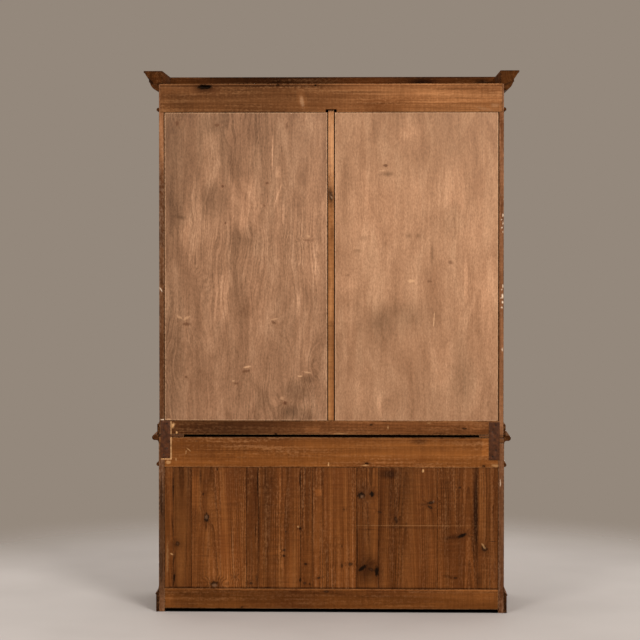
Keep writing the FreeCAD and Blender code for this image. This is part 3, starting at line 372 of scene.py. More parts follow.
edgeWood = dict(
    backWood, rings=0.48, zones=1.05, pale=(168, 118, 80), mid=(140, 94, 62), dark=(104, 66, 40), ring=(88, 54, 31),
    grime=0.5, dust=0.16, dustShade=(176, 144, 118), wear=0.4, wearShade=(180, 140, 106), bands=90.0,
    chipShade=(226, 202, 176),
)
# dark end grain; on the backs of the mouldings and the cornice's inner faces its darkness is also painted shade
endGrainAndShadeWood = dict(
    backWood, rings=0.48, zones=1.05, pale=(94, 54, 23), mid=(74, 41, 15), dark=(52, 27, 8), ring=(40, 19, 5),
    wear=0.15, dust=0.1, rough=(0.88, 1.0),
)
frontWood = dict(
    backWood, pale=(125, 78, 38), mid=(103, 62, 27), dark=(81, 47, 19), ring=(60, 33, 12), rings=0.45,
    heartSide=0.12, heartDeep=0.05, fibre=0.4, strands=0.45, mottle=0.25, saw=0.0, zones=0.4, dust=0.0, blotch=0.3,
    wear=0.45, wearShade=(146, 97, 54), knotShare=0.22, rough=(0.4, 0.6), bump=0.3, shine=0.22, figure=(0.9, 1.1),
)
innerWood = dict(
    backWood, pale=(196, 152, 104), mid=(176, 130, 84), dark=(150, 105, 64), ring=(138, 90, 50), rings=0.4,
    mottle=0.3, saw=0.15, zones=0.4, dust=0.0, blotchShade=(150, 108, 70), grime=0.4, wear=0.2,
    wearShade=(206, 166, 120), haloShade=(150, 96, 54), knotShade=(84, 48, 26), bump=0.35,
)
dustyWood = dict(
    innerWood, pale=(152, 116, 80), mid=(130, 96, 64), dark=(106, 76, 49), ring=(92, 62, 36), dust=0.4,
    dustShade=(150, 136, 120), blotchShade=(98, 72, 50), knotShade=(60, 36, 20),
)
freshWood = dict(
    edgeWood, pale=(216, 172, 122), mid=(196, 150, 102), dark=(170, 124, 82), ring=(160, 112, 72), grime=0.2,
)
muntinWood = dict(
    railWood, pale=(182, 130, 82), mid=(156, 104, 61), dark=(126, 77, 40), ring=(108, 62, 28), wear=0.1, grime=0.9,
    chipShade=(206, 166, 130),
)

boardMarks = {
    "knot": [
        (711, 314, 13, 15, 70), (725, 155, 5, 30, 90, -4), (575, 434, 15, 25, 95), (591, 545, 6, 7, 60),
        (540, 128, 24, 16, 80), (526, 659, 4, 7, 70), (444, 161, 8, 9, 35), (371, 132, 10, 6, 75),
        (217, 286, 8, 5, 80, 20), (218, 260, 7, 6, 80), (209, 372, 4, 5, 60), (143, 386, 6, 8, 85),
        (117, 222, 7, 6, 80), (57, 158, 10, 5, 85, 15), (143, 148, 6, 9, 80), (122, 134, 10, 8, 60),
        (98, 130, 5, 8, 70), (-50, 215, 6, 12, 60), (-50, 306, 4, 7, 50), (-89, 222, 12, 9, 70),
        (-60, 475, 5, 7, 50), (-138, 541, 20, 17, 95), (-189, 545, 12, 15, 100), (-224, 464, 12, 6, 60, -15),
        (-146, 205, 26, 11, 100, 32), (-211, 190, 11, 26, 100), (-184, 198, 18, 8, 60, -20),
        (-299, 430, 9, 20, 70, 12), (-461, 508, 18, 8, 90, 10), (-457, 486, 14, 7, 80, -30), (-592, 578, 8, 6, 70),
        (-603, 356, 26, 10, 100, 22), (-573, 160, 10, 5, 75), (-706, 297, 15, 19, 80, 28),
    ],
    # the full-width stains at 700 and 80 mm make the boards darker at the top and paler at the foot: painted shade
    # and painted light; the thin ones at 109 mm paint the shadow in the gap above the bottom rail
    "stain": [
        (730, 570, 7, 100, 75), (731, 390, 6, 80, 60, 6), (727, 240, 7, 50, 70, -10), (722, 345, 20, 10, -30, 15),
        (690, 400, 45, 400, 22), (577, 395, 8, 30, 60), (603, 630, 8, 60, 50), (460, 330, 4, 170, 45, 2),
        (344, 155, 8, 30, 60), (338, 600, 8, 110, 60), (345, 400, 50, 500, 25), (500, 700, 1500, 360, 22),
        (500, 80, 1500, 300, -14), (440, 170, 70, 200, -22), (575, 600, 35, 200, 22), (500, 109, 1500, 11, 80),
        (332, 400, 10, 300, 50), (298, 380, 32, 600, 42), (100, 700, 1500, 360, 16), (100, 80, 1500, 300, -14),
        (240, 300, 35, 600, -18), (100, 109, 1500, 11, 80), (190, 200, 30, 220, -20), (258, 277, 45, 14, -40, 12),
        (143, 610, 7, 60, 75), (22, 230, 12, 150, 35), (-118, 300, 10, 350, 50), (-160, 560, 70, 60, 30),
        (-400, 80, 1500, 300, -16), (-175, 200, 75, 100, 75), (-260, 640, 70, 35, 50), (-310, 600, 110, 340, 34),
        (-430, 500, 45, 8, 45), (-528, 460, 34, 440, 28), (-570, 350, 65, 18, 60, 8), (-545, 165, 45, 12, 40, -14),
        (-666, 470, 22, 360, 85), (-682, 150, 24, 60, 55), (-745, 330, 22, 3, 90), (-380, 392, 300, 6, 30),
        (-172, 382, 70, 5, 40), (-472, 240, 30, 240, -30), (-400, 109, 1500, 11, 80),
    ],
    "chip": [
        (737, 266, 12, 5, 60, -25), (757, 250, 8, 100, 18), (454, 280, 3.5, 180, 12, 2), (152, 394, 6, 6, 40),
        (-702, 309, 6, 21, 42, 35), (-424, 655, 6, 10, 80), (-384, 401.5, 400, 1.6, 26),
    ],
    "wipe": [(628, 545, 16, 85, -40), (228, 240, 10, 50, -30), (236, 560, 8, 100, -25), (58, 553, 18, 18, -55)],
    "heart": [(576, 438, 10, 14, 55), (538, 122, 17, 10, 80), (-142, 536, 11, 12, 60, 30), (-472, 513, 6, 8, 50)],
}
boardTones = [1.04, 0.68, 1.2, 0.96, 1.09, 1.18, 1.19, 1.2, 0.85, 0.89, 1.08, 0.86]  # photo's left to right
boardSplits = (0.3376, -0.1164)  # one finish can't hold all the boards' marks, so three share them

topRailMarks = {
    # the 100 % knot at 582 mm paints the inside of the hollow cut there near black: painted shade
    "knot": [(582, 2422, 38, 14, 100), (245, 2430, 9, 4, 90), (72, 2429, 6, 5, 90)],
    # the pale full-width line at 2433.5 mm is a painted highlight, and the wide stains at 2445 and 2325 mm make the
    # rail darker at the top and paler at the bottom: painted shade and painted light
    "stain": [
        (585, 2415, 60, 30, 30), (134, 2360, 30, 60, -30, 8), (0, 2433.5, 3000, 4, -45), (0, 2426.5, 3000, 5, 30),
        (-450, 2392, 240, 7, -28), (-500, 2352, 260, 8, -24, 1), (-560, 2411, 160, 6, 32),
        (-600, 2371, 140, 5, 32, -1), (-150, 2398, 220, 6, 28), (-220, 2345, 250, 6, 24, 1),
        (420, 2370, 750, 300, 50), (700, 2350, 120, 60, 20), (0, 2445, 3000, 90, 16), (-400, 2325, 750, 85, -16),
    ],
    "chip": [(134, 2355, 12, 34, 25, 8), (-752, 2336, 24, 14, 14), (-700, 2320, 50, 10, 10, -12)],
}
midRailMarks = {
    "knot": [
        (-164, 689, 11, 5, 95), (-702, 678, 8, 5, 90), (620, 790, 4, 3, 50), (412, 22, 6, 4, 80),
        (22, 96, 14, 6, 70),
    ],
    "chip": [
        (-158, 680, 22, 5, 55), (12, 685, 5, 10, 90), (657, 750, 16, 3, 50, -40), (670, 738, 4, 12, 40, -10),
        (752, 692, 16, 12, 55), (716, 704, 4, 8, 50), (-755, 680, 26, 8, 40),
    ],
    # the thin stain at 809 mm paints the shadow of the slot above the rail, and the pale one at 104.5 mm paints a
    # highlight on the bottom rail's top arris; the wide ones at 810, 680 and 115 mm make the rails darker at the
    # top and paler at the bottom: painted shade and painted light
    "stain": [
        (-406, 790, 60, 25, 40), (300, 800, 400, 12, 25), (620, 60, 200, 100, 22), (750, 62, 32, 50, -35),
        (400, 55, 350, 80, 18), (600, 750, 250, 100, 14), (0, 809, 2000, 4.5, 100), (0, 810, 3000, 90, 22),
        (-200, 680, 1400, 70, -12), (400, 115, 1200, 65, 20), (0, 104.5, 3000, 6, -60),
    ],
    "wipe": [(-712, 765, 18, 50, -40), (-710, 70, 50, 30, -20)],
}
upperBottomMarks = {
    "knot": [(255, 824, 8, 5, 90), (-184, 867, 8, 5, 80), (-613, 850, 14, 4, 80)],
    "chip": [
        (-262, 855, 4, 12, 50), (730, 862, 10, 17, 100, -25), (713, 830, 6, 7, 100), (-40, 826, 50, 4, 30),
        (-450, 875, 12, 4, 30),
    ],
    "stain": [
        (-500, 828, 50, 10, 50), (450, 855, 640, 160, 66), (-660, 840, 90, 50, -22), (-330, 850, 550, 200, -8),
    ],
    "wipe": [(85, 845, 35, 18, -25)],
}
edgeMarks = {
    # the broad stains at 780 mm make the +X side's rear edges much darker than the -X side's: painted shade on the
    # side away from the light
    "stain": [
        (780, 1600, 120, 1000, 63), (780, 350, 140, 800, 82), (-780, 1600, 120, 1200, -6),
        (-780, 300, 140, 750, 14), (783, 550, 8, 120, 30), (785, 200, 8, 100, 30),
    ],
    "chip": [
        (-789, 1832, 4, 10, 90), (-783, 1812, 5, 5, 70, 20), (-789, 1795, 3, 12, 90), (-784, 1775, 4, 6, 70, -30),
        (-789, 1755, 3, 6, 60), (-789, 1505, 3, 12, 80), (-784, 1490, 4, 5, 70, 15), (-787, 1462, 6, 14, 100),
        (-781, 1452, 4, 6, 80, -20), (-788, 1432, 5, 9, 95), (-784, 1408, 5, 6, 80), (-787, 1215, 4, 9, 70),
        (785, 1490, 4, 18, 70, 32), (777, 889, 14, 4, 80), (-779, 600, 4, 20, 50),
    ],
}
endAndShadeMarks = {
    # most of these stains are painted shade: on the back of the cornice above the top rail, and on the ends of the
    # skirting
    "stain": [
        (300, 2450, 650, 300, 66), (-450, 2450, 420, 300, 50), (840, 2450, 50, 100, 20), (820, 60, 60, 250, 50),
        (-820, 60, 60, 250, 62), (-835, 2450, 80, 120, -60), (-430, 2450, 100, 60, 50), (-720, 2450, 80, 60, 90),
        (834, 2450, 45, 10, 70, -45), (812, 2472, 22, 13, -45), (790, 2435, 30, 12, 60),
        (-812, 2437, 36, 7, 90, 25), (-845, 2458, 30, 8, 50, 50),
    ],
}
muntinMarks = {
    "knot": [(2, 1925, 11, 36, 75, 8)],
    "stain": [
        (0, 1920, 30, 60, 30), (0, 1050, 50, 400, 14), (0, 2120, 60, 260, -36), (0, 1330, 20, 30, 30),
        (-4, 2275, 10, 16, 35), (4, 2225, 10, 18, 30), (5, 2145, 8, 14, 25), (4, 2060, 12, 14, 40),
        (-5, 2015, 8, 12, 30), (0, 2316, 60, 14, 45), (-6, 1750, 10, 50, 25), (5, 1520, 9, 40, 25),
    ],
    "chip": [(-2, 1915, 6, 10, 30, 20), (0, 2150, 60, 240, 26)],
}
print("wood looks ready:", sum(map(len, boardMarks.values())), "marks on the lower back boards")


plyLook = {
    "left": {
        "pale": (174, 135, 105), "mid": (148, 110, 82), "dark": (119, 84, 59), "patch": 0.7, "wipe": 0.1,
        "lines": 0.31, "flow": 0.38, "speckle": 0.6, "bend": 0.2, "ripple": 0.044,
    },
    "right": {
        "pale": (188, 147, 114), "mid": (166, 125, 94), "dark": (142, 102, 73), "patch": 0.68, "wipe": 0.08,
        "lines": 0.09, "flow": 0.36, "speckle": 0.52, "bend": 0.1, "ripple": 0.016,
    },
}
plyShade = {"halo": (134, 90, 60), "knot": (84, 48, 26), "chip": (204, 160, 122), "worn": (206, 166, 130),
            "core": (112, 76, 50)}
plyNoise = {
    "crumble": ((60.0, 110.0, 110.0), 4.0, 0.6), "strands": ((4.0, 90.0, 90.0), 4.0, 0.62),
    "swell": ((0.9, 3.0, 3.0), 3.0, 0.5, 0.5), "ripple": ((6.0, 14.0, 14.0), 2.0),
    "figure": ((2.2, 4.5, 4.5), 2.0), "patches": ((3.4, 8.0, 8.0), 4.0, 0.6, 0.9),
    "wipes": ((2.0, 15.0, 15.0), 3.0, 0.6, 0.5), "fibres": ((18.0, 420.0, 420.0), 2.0),
    "speckle": ((80.0, 150.0, 150.0), 3.0, 0.65),
}
plySet = {"jump": (19.3, 41.7, 5.9), "fibre": 0.34, "warmth": 0.05, "halo": 0.18, "wearWidth": (0.006, 0.001),
          "coreHalf": 0.0011, "core": 0.8, "rough": (0.55, 0.75), "bump": 0.35, "bumpDepth": 0.0005, "shine": 0.15}
plySplit = 1.59  # each half's finish holds its own marks, and those that cross this height stand in both
plyMarks = {
    "leftBoth": {
        "stain": [
            (60, 1880, 70, 440, -22), (450, 1500, 55, 200, 21), (350, 1420, 60, 260, -17), (90, 1575, 85, 140, -20),
        ],
        "wipe": [(503, 1455, 38, 130, -27)],
    },
    "leftTop": {
        "wipe": [
            (553, 2095, 42, 140, -28), (405, 1893, 68, 130, -30), (270.5, 2120, 3.5, 90, -60),
            (220.5, 1845, 5, 55, -45), (245, 1925, 4, 70, -29, -20), (245, 2030, 12, 30, -25),
        ],
        # the broad stain at 2220 mm darkens the panel towards its top: painted shade
        "stain": [
            (665, 1720, 50, 120, -15), (540, 1890, 110, 120, 24), (700, 1860, 75, 100, 14),
            (690, 1822, 50, 14, 25, -12), (400, 1710, 130, 90, 22), (740, 2000, 110, 850, 30),
            (450, 2220, 600, 450, 27), (555, 2160, 100, 260, 20), (410, 2180, 75, 250, -20),
        ],
        "knot": [
            (500, 1966, 7, 7, 78), (525, 2247, 12, 8, 59), (710, 2256, 9, 12, 59), (204, 2243, 7, 16, 52),
            (295, 1980, 9, 6, 65), (307, 1877, 7, 7, 52), (488, 1795, 5, 6, 65), (110, 1717, 22, 5, 40),
        ],
        "chip": [(105, 1735, 10, 10, 52)],
    },
    "leftLow": {
        "knot": [
            (690, 1420, 50, 90, 0), (390, 1170, 30, 60, 0), (140, 1140, 36, 70, 0), (666, 1330, 18, 9, 60),
            (392, 1113, 22, 7, 59, 12), (211, 966, 12, 10, 78), (265, 1338, 13, 7, 59, -25), (440, 1056, 14, 6, 52),
            (670, 1085, 8, 7, 59),
        ],
        "wipe": [(150, 1420, 10, 60, -20)],
        "chip": [
            (700, 1362, 22, 8, 50, -35), (668, 1358, 22, 8, 50, 32), (385, 1133, 24, 7, 75, 10),
            (143, 1090, 14, 6, 75), (110, 1108, 28, 5, 60, -10), (750, 890, 16, 4, 80), (225, 988, 16, 12, 38),
            (262, 1353, 20, 5, 45, 10), (450, 1068, 10, 5, 60),
        ],
        "stain": [
            (105, 1078, 50, 30, 33), (190, 935, 70, 50, 30), (215, 1320, 65, 280, 14), (160, 1020, 130, 80, 33),
            (310, 985, 50, 90, 24), (745, 1200, 110, 750, 27), (560, 970, 75, 140, -20), (160, 905, 170, 80, 30),
        ],
    },
    "rightBoth": {
        "stain": [
            (-660, 1730, 100, 150, -12), (-700, 1500, 90, 220, -21), (-750, 1380, 70, 420, -17),
            (-80, 1520, 90, 110, -15),
        ],
        "wipe": [(-620, 1530, 10, 110, -29)],
    },
    "rightTop": {
        "knot": [(-250, 2060, 12, 7, 72), (-550, 1615, 14, 10, 52, -25)],
        # the broad stain at 2280 mm darkens the panel towards its top: painted shade
        "stain": [
            (-262, 2022, 45, 18, 36), (-150, 1725, 40, 25, 21), (-357, 1738, 22, 18, 34), (-400, 1738, 20, 16, 30),
            (-465, 1660, 12, 90, 30), (-120, 1668, 34, 13, 24), (-200, 1820, 240, 220, -10),
            (-550, 1800, 120, 110, 16), (-370, 2200, 130, 140, -16), (-60, 2020, 50, 350, 10),
            (-360, 2210, 60, 50, -15), (-380, 1950, 60, 90, -12), (-420, 2280, 600, 450, 26),
        ],
        "chip": [(-235, 2037, 20, 5, 38)],
        "wipe": [(-560, 1955, 46, 100, -9), (-155, 1960, 20, 100, -13)],
    },
    "rightLow": {
        "stain": [
            (-265, 1355, 190, 130, 24), (-225, 1345, 70, 75, 10), (-420, 1370, 160, 120, 15),
            (-200, 1280, 160, 90, 14, -18), (-130, 1020, 35, 110, -14), (-610, 1080, 80, 200, 20),
            (-160, 1200, 140, 100, 9), (-585, 1250, 50, 120, 13), (-40, 1200, 30, 300, 11),
            (-420, 920, 650, 500, 11),
        ],
        "chip": [(-368, 1530, 22, 10, 83), (-473, 1350, 4, 45, 75, -4)],
        "wipe": [(-505, 1130, 44, 110, -12), (-222, 955, 12, 55, -25), (-300, 1375, 120, 55, 5)],
        "knot": [(-453, 1527, 14, 6, 39), (-75, 1555, 10, 6, 33)],
    },
}


def plyFinish(name, look, marks):
    material, tree, shader = startFinish(name)
    shade = dict(shades(look), **shades(plyShade))
    (along, across, thick), half, seed, spot = readBoard(tree, plySet["jump"])

    def noise(kind):
        return cloud(tree, spot, *plyNoise[kind])

    crumble, strands = noise("crumble"), noise("strands")
    sums = readMarks(tree, marks, crumble, strands)

    # peeled veneer: broad wiped patches of stain over fine wandering contours
    lane = weighted(tree, noise("swell"), look["bend"], calc(tree, "ADD", across, sums["push"]))
    lane = sway(tree, noise("ripple"), look["ripple"], lane)
    track = put(tree, "CombineXYZ", {0: lane, 1: along, 2: seed}).outputs[0]
    contour = fade(tree, cloud(tree, track, (140.0, 1.8, 40.0), 3.0, 0.6), 0.4, 0.6)
    flow = cloud(tree, track, (70.0, 4.5, 40.0), 4.0, 0.62)
    contour = sway(tree, contour, fade(tree, noise("figure"), 0.4, 0.62, 0.4, 1.3), 0.5)
    patches, fibres, speckle = (noise(kind) for kind in ("patches", "fibres", "speckle"))
    mixed = sway(tree, patches, look["patch"] * 1.2, 0.5)
    mixed = sway(tree, fade(tree, noise("wipes"), 0.46, 0.56), look["wipe"], mixed)
    base = ramp(tree, mixed, [(0.22, shade["dark"]), (0.5, shade["mid"]), (0.78, shade["pale"])])
    shadeBy = sway(tree, fibres, plySet["fibre"], 1.0)
    for pattern, weight in ((contour, look["lines"]), (flow, look["flow"]), (speckle, look["speckle"] * 2)):
        shadeBy = sway(tree, pattern, weight, shadeBy)
    shadeBy = times(tree, shadeBy, calc(tree, "SUBTRACT", 1.0, sums["stain"]))
    base = warmShade(tree, base, shadeBy, plySet["warmth"])
    base = tint(tree, times(tree, sums["halo"], plySet["halo"]), base, shade["halo"])
    for kind in ("knot", "chip"):
        base = tint(tree, sums[kind], base, shade[kind])
    edge = arrisDistance(tree, (along, across, thick), half)[0]
    worn = times(tree, fade(tree, edge, *plySet["wearWidth"]), fade(tree, crumble, 0.38, 0.6, 0.1, 0.6))
    base = tint(tree, worn, base, shade["worn"])
    layer = calc(tree, "LESS_THAN", calc(tree, "ABSOLUTE", thick), plySet["coreHalf"])  # seen on cut edges
    base = tint(tree, times(tree, layer, plySet["core"]), base, shade["core"])
    height = weighted(tree, fibres, 0.5, times(tree, strands, 0.6))
    height = weighted(tree, speckle, 0.5, height)
    fill(tree, shader, {"Base Color": base, "Specular IOR Level": plySet["shine"],
                        "Roughness": fade(tree, calc(tree, "ADD", patches, speckle), 0.6, 1.4, *plySet["rough"]),
                        "Normal": bumped(tree, height, plySet["bump"], plySet["bumpDepth"])})
    return material


metalLook = {
    "brass": {"bright": (176, 138, 74), "dull": (108, 80, 40), "dark": (52, 38, 22), "metal": 1.0,
              "rough": (0.28, 0.55)},
    "steel": {"bright": (150, 144, 136), "dull": (104, 96, 88), "dark": (60, 48, 40), "metal": 1.0,
              "rough": (0.3, 0.6)},
    "plate": {"bright": (86, 47, 21), "dull": (69, 36, 14), "dark": (52, 26, 9), "metal": 0.0,
              "rough": (0.5, 0.75)},
    "screw": {"bright": (92, 70, 56), "dull": (64, 44, 34), "dark": (36, 24, 18), "metal": 0.7,
              "rough": (0.4, 0.65)},
}
metalSet = {"specks": 0.55, "shine": 0.2, "bump": 0.25, "bumpDepth": 0.0003}


def metalFinish(name, look):
    material, tree, shader = startFinish(name)
    shade = shades(look)
    spot = objectPlace(tree)
    patina = cloud(tree, spot, (60.0, 60.0, 60.0), 4.0, 0.6)
    specks = cloud(tree, spot, (420.0, 420.0, 420.0), 2.0)
    brushed = cloud(tree, spot, (900.0, 900.0, 60.0), 1.0)
    base = ramp(tree, patina, [(0.32, shade["dark"]), (0.5, shade["dull"]), (0.68, shade["bright"])])
    base = tint(tree, fade(tree, specks, 0.58, 0.7, 0.0, metalSet["specks"]), base, shade["dark"])
    uneven = calc(tree, "ADD", patina, specks)
    height = weighted(tree, brushed, 0.4, uneven)
    fill(tree, shader, {"Base Color": base, "Metallic": look["metal"], "Specular IOR Level": metalSet["shine"],
                        "Roughness": fade(tree, uneven, 1.3, 0.7, *look["rough"]),
                        "Normal": bumped(tree, height, metalSet["bump"], metalSet["bumpDepth"])})
    return material


glassLook = {"clear": (0.93, 0.97, 0.95, 1.0), "filmed": (0.85, 0.88, 0.84, 1.0), "rough": (0.01, 0.09),
             "bend": 1.5, "ripple": (0.12, 0.004)}


def glassFinish(name):  # old drawn glass: faint green, a slow ripple and a film of dust
    material, tree, shader = startFinish(name)
    spot = objectPlace(tree)
    ripple = cloud(tree, spot, (9.0, 9.0, 4.0), 2.0)
    dust = cloud(tree, spot, (26.0, 26.0, 26.0), 4.0, 0.6)
    base = tint(tree, fade(tree, dust, 0.4, 0.8), glassLook["clear"], glassLook["filmed"])
    fill(tree, shader, {"Base Color": base, "Roughness": fade(tree, dust, 0.45, 0.85, *glassLook["rough"]),
                        "Transmission Weight": 1.0, "IOR": glassLook["bend"],
                        "Normal": bumped(tree, ripple, *glassLook["ripple"])})
    return material


def between(marks, low, high):  # the marks on one stretch of the back
    return {kind: [mark for mark in group if low < mark[0] / 1000 <= high] for kind, group in marks.items()}


def plyHalf(side, half):
    own, shared = plyMarks[side + half], plyMarks[side + "Both"]
    return {kind: own.get(kind, []) + shared.get(kind, []) for kind in markEdge}


finishes = {
    "boardsA": woodFinish("stained back boards a", backWood, between(boardMarks, boardSplits[0], 1.0)),
    "boardsB": woodFinish("stained back boards b", backWood, between(boardMarks, boardSplits[1], boardSplits[0])),
    "boardsC": woodFinish("stained back boards c", backWood, between(boardMarks, -1.0, boardSplits[1])),
    "topRail": woodFinish("stained back top rail", topWood, topRailMarks),
    "midRail": woodFinish("stained lower back rails", railWood, midRailMarks),
    "upperBottom": woodFinish("stained upper bottom rail", lowWood, upperBottomMarks),
    "sideEdge": woodFinish("worn rear edge", edgeWood, edgeMarks),
    "freshCut": woodFinish("pale fresh cut", freshWood, {}),
    "rearEndAndShade": woodFinish("dark moulding end", endGrainAndShadeWood, endAndShadeMarks),
    "muntin": woodFinish("pale back muntin", muntinWood, muntinMarks),
    "front": woodFinish("waxed pine", frontWood),
    "inner": woodFinish("bare pine", innerWood),
    "dusty": woodFinish("dusty bare pine", dustyWood),
    "glass": glassFinish("old glass"),
}
for side, title in (("left", "streaked plywood "), ("right", "smooth plywood ")):
    for half in ("Top", "Low"):
        key = "ply" + side.title() + half
        finishes[key] = plyFinish(title + half.lower(), plyLook[side], plyHalf(side, half))
for kind, title in (("brass", "aged "), ("steel", "worn "), ("plate", "browned "), ("screw", "browned ")):
    finishes[kind] = metalFinish(title + kind, metalLook[kind])
print("finishes ready:", len(finishes))


def splitSolids(node):  # triangles run solid by solid: a solid ends where no edge is left open
    spots = [tuple(round(n, 6) for n in vertex.co) for vertex in node.data.vertices]
    solids, faces, openEdges = [], [], set()
    for polygon in node.data.polygons:
        corners = [spots[i] for i in polygon.vertices]
        faces.append(corners)
        for start, end in zip(corners, corners[1:] + corners[:1]):
            if (end, start) in openEdges:
                openEdges.remove((end, start))
            elif start != end:
                openEdges.add((start, end))
        if not openEdges:
            solids.append(faces)
            faces = []
    if faces:
        solids.append(faces)
    return solids


def mergedCopy(nodeName, pieceName):  # merged within each solid only, so that touching boards stay apart
    spots, faces = [], []
    for solid in splitSolids(frame["nodes"][nodeName]):
        place = {}
        for corners in solid:
            face = []
            for corner in corners:
                if corner not in place:
                    place[corner] = len(spots)
                    spots.append(corner)
                face.append(place[corner])
            if len(set(face)) == 3:
                faces.append(face)
    mesh = bpy.data.meshes.new(pieceName)
    mesh.from_pydata(spots, [], faces)
    piece = bpy.data.objects.new(pieceName, mesh)
    bpy.context.scene.collection.objects.link(piece)
    editAll(piece)
    bpy.ops.mesh.dissolve_limited(angle_limit=math.radians(0.4))
    bpy.ops.object.mode_set(mode="OBJECT")
    return piece


def tagBoards(piece, tones=None):  # every board gets its own grain, longest side first
    mesh = piece.data
    joined = list(range(len(mesh.vertices)))

    def root(i):
        while joined[i] != i:
            joined[i] = joined[joined[i]]
            i = joined[i]
        return i

    for edge in mesh.edges:
        a, b = (root(i) for i in edge.vertices)
        joined[a] = b
    boards = {}
    for i in range(len(joined)):
        boards.setdefault(root(i), []).append(i)
    sized = []
    for members in boards.values():
        low, high = ([pick(mesh.vertices[i].co[k] for i in members) for k in range(3)] for pick in (min, max))
        sized.append((low, high, members))
    sized.sort(key=lambda board: (-round(board[0][0] + board[1][0], 4), board[0][2], board[0][1]))
    count = len(mesh.vertices)
    tags = {"boardPos": [0.0] * count * 3, "boardHalf": [0.0] * count * 3, "boardSeed": [0.0] * count,
            "boardTone": [1.0] * count}
    for number, (low, high, members) in enumerate(sized):
        dice = random.Random(piece.name + str(number))
        seed = dice.random()
        tone = tones[number] if tones else dice.uniform(0.9, 1.1)
        middle = [(a + b) / 2 for a, b in zip(low, high)]
        order = sorted(range(3), key=lambda k: low[k] - high[k])
        for i in members:
            tags["boardPos"][3 * i:3 * i + 3] = [mesh.vertices[i].co[k] - middle[k] for k in order]
            tags["boardHalf"][3 * i:3 * i + 3] = [(high[k] - low[k]) / 2 for k in order]
            tags["boardSeed"][i] = seed
            tags["boardTone"][i] = tone
    for name, numbers in tags.items():
        wide = len(numbers) > count
        tag = mesh.attributes.new(name, "FLOAT_VECTOR" if wide else "FLOAT", "POINT")
        tag.data.foreach_set("vector" if wide else "value", numbers)


def gouge(piece, cuts):  # dents and hollows: lumps of a given size are cut out of the face
    clearSelection()
    for count, (spot, size, turn) in enumerate(cuts):
        bpy.ops.mesh.primitive_ico_sphere_add(subdivisions=2, radius=1.0, location=spot, scale=size,
                                              rotation=(0.0, math.radians(turn), 0.0))
        bpy.ops.object.mode_set(mode="EDIT")
        bpy.ops.transform.vertex_random(offset=min(size) * 0.35, seed=count + 3)
        bpy.ops.object.mode_set(mode="OBJECT")
        if count:
            cutter.select_set(True)
            bpy.context.view_layer.objects.active = cutter
            bpy.ops.object.join()
        cutter = bpy.context.object
        bpy.ops.object.select_all(action="DESELECT")
    carve = piece.modifiers.new("carve", "BOOLEAN")
    carve.operation = "DIFFERENCE"
    carve.object = cutter
    carve.solver = "MANIFOLD"
    applyModifiers(piece)
    bpy.data.objects.remove(cutter)


edgeRound = {"board": 0.0009, "rail": 0.0016, "thinRail": 0.0003, "muntin": 0.001, "ply": 0.0005, "case": 0.0012,
             "mould": 0.0005, "slim": 0.0008, "metal": 0.0002, "bolt": 0.0003, "plate": 0.0004, "none": 0.0}
bevelFrom = 34.0  # degrees between two faces, from which their edge is rounded


def dress(nodeName, finish, edges="case", tones=None, cuts=(), wood=True, smooth=40.0):
    piece = mergedCopy(nodeName, nodeName + ".dressed")
    if edgeRound[edges]:
        soften = piece.modifiers.new("soften", "BEVEL")
        soften.width = edgeRound[edges]
        soften.segments = 2
        soften.limit_method = "ANGLE"
        soften.angle_limit = math.radians(bevelFrom)
        soften.use_clamp_overlap = False
        applyModifiers(piece)
    if cuts:
        gouge(piece, cuts)
    if wood:
        tagBoards(piece, tones)
    piece.data.materials.clear()  # a cut leaves an empty slot behind
    piece.data.materials.append(finishes[finish])
    for polygon in piece.data.polygons:
        polygon.material_index = 0
    pickOnly(piece)
    bpy.ops.object.shade_smooth_by_angle(angle=math.radians(smooth))
    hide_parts(nodeName)
    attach(piece, bodyOf[nodeName])
    return piece


def reface(piece, finish, chosen):  # the faces that pass a test take another finish
    piece.data.materials.append(finishes[finish])
    last = len(piece.data.materials) - 1
    for polygon in piece.data.polygons:
        if chosen(polygon.center, polygon.normal):
            polygon.material_index = last


facing = 0.8  # a face looks along an axis when its normal has this share of it
plateBed = {"deep": (0.25, 0.2535), "aside": 0.7, "high": (0.69, 0.9)}
muntinGap = {"from": 0.243, "to": 0.249}
hollows = {  # (place, half sizes, turn) of each dent, on the back face
    "topRail": [((0.582, 0.257, 2.422), (0.031, 0.016, 0.010), 0),
                ((0.245, 0.257, 2.430), (0.008, 0.005, 0.004), 0),
                ((0.072, 0.257, 2.429), (0.006, 0.005, 0.005), 0)],
    "midRail": [((-0.164, 0.257, 0.687), (0.009, 0.008, 0.006), 0),
                ((-0.702, 0.257, 0.677), (0.007, 0.006, 0.005), 0),
                ((0.012, 0.258, 0.684), (0.006, 0.005, 0.008), 10)],
    "upperBottom": [((0.255, 0.257, 0.823), (0.008, 0.006, 0.005), 0),
                    ((0.730, 0.258, 0.862), (0.009, 0.006, 0.016), -25)],
}


def looksBack(center, normal):
    return normal.y > facing


def inPlateBed(center, normal):  # the beds cut for the tie plates show fresh wood
    deep, high = plateBed["deep"], plateBed["high"]
    return (normal.y > facing and deep[0] < center.y < deep[1] and abs(center.x) > plateBed["aside"]
            and high[0] < center.z < high[1])


def inMuntinGap(center, normal):  # painted shade in the gaps beside its tongue
    return center.y > muntinGap["from"] and (abs(normal.x) > facing or center.y < muntinGap["to"])


def unpolished(center, normal):  # the back, the top and the inner faces of the cornice, which take the dark end finish; on the inner faces its darkness is painted shade
    return normal.z > 0.3 or normal.y > 0.2 or normal.x * center.x < -0.2


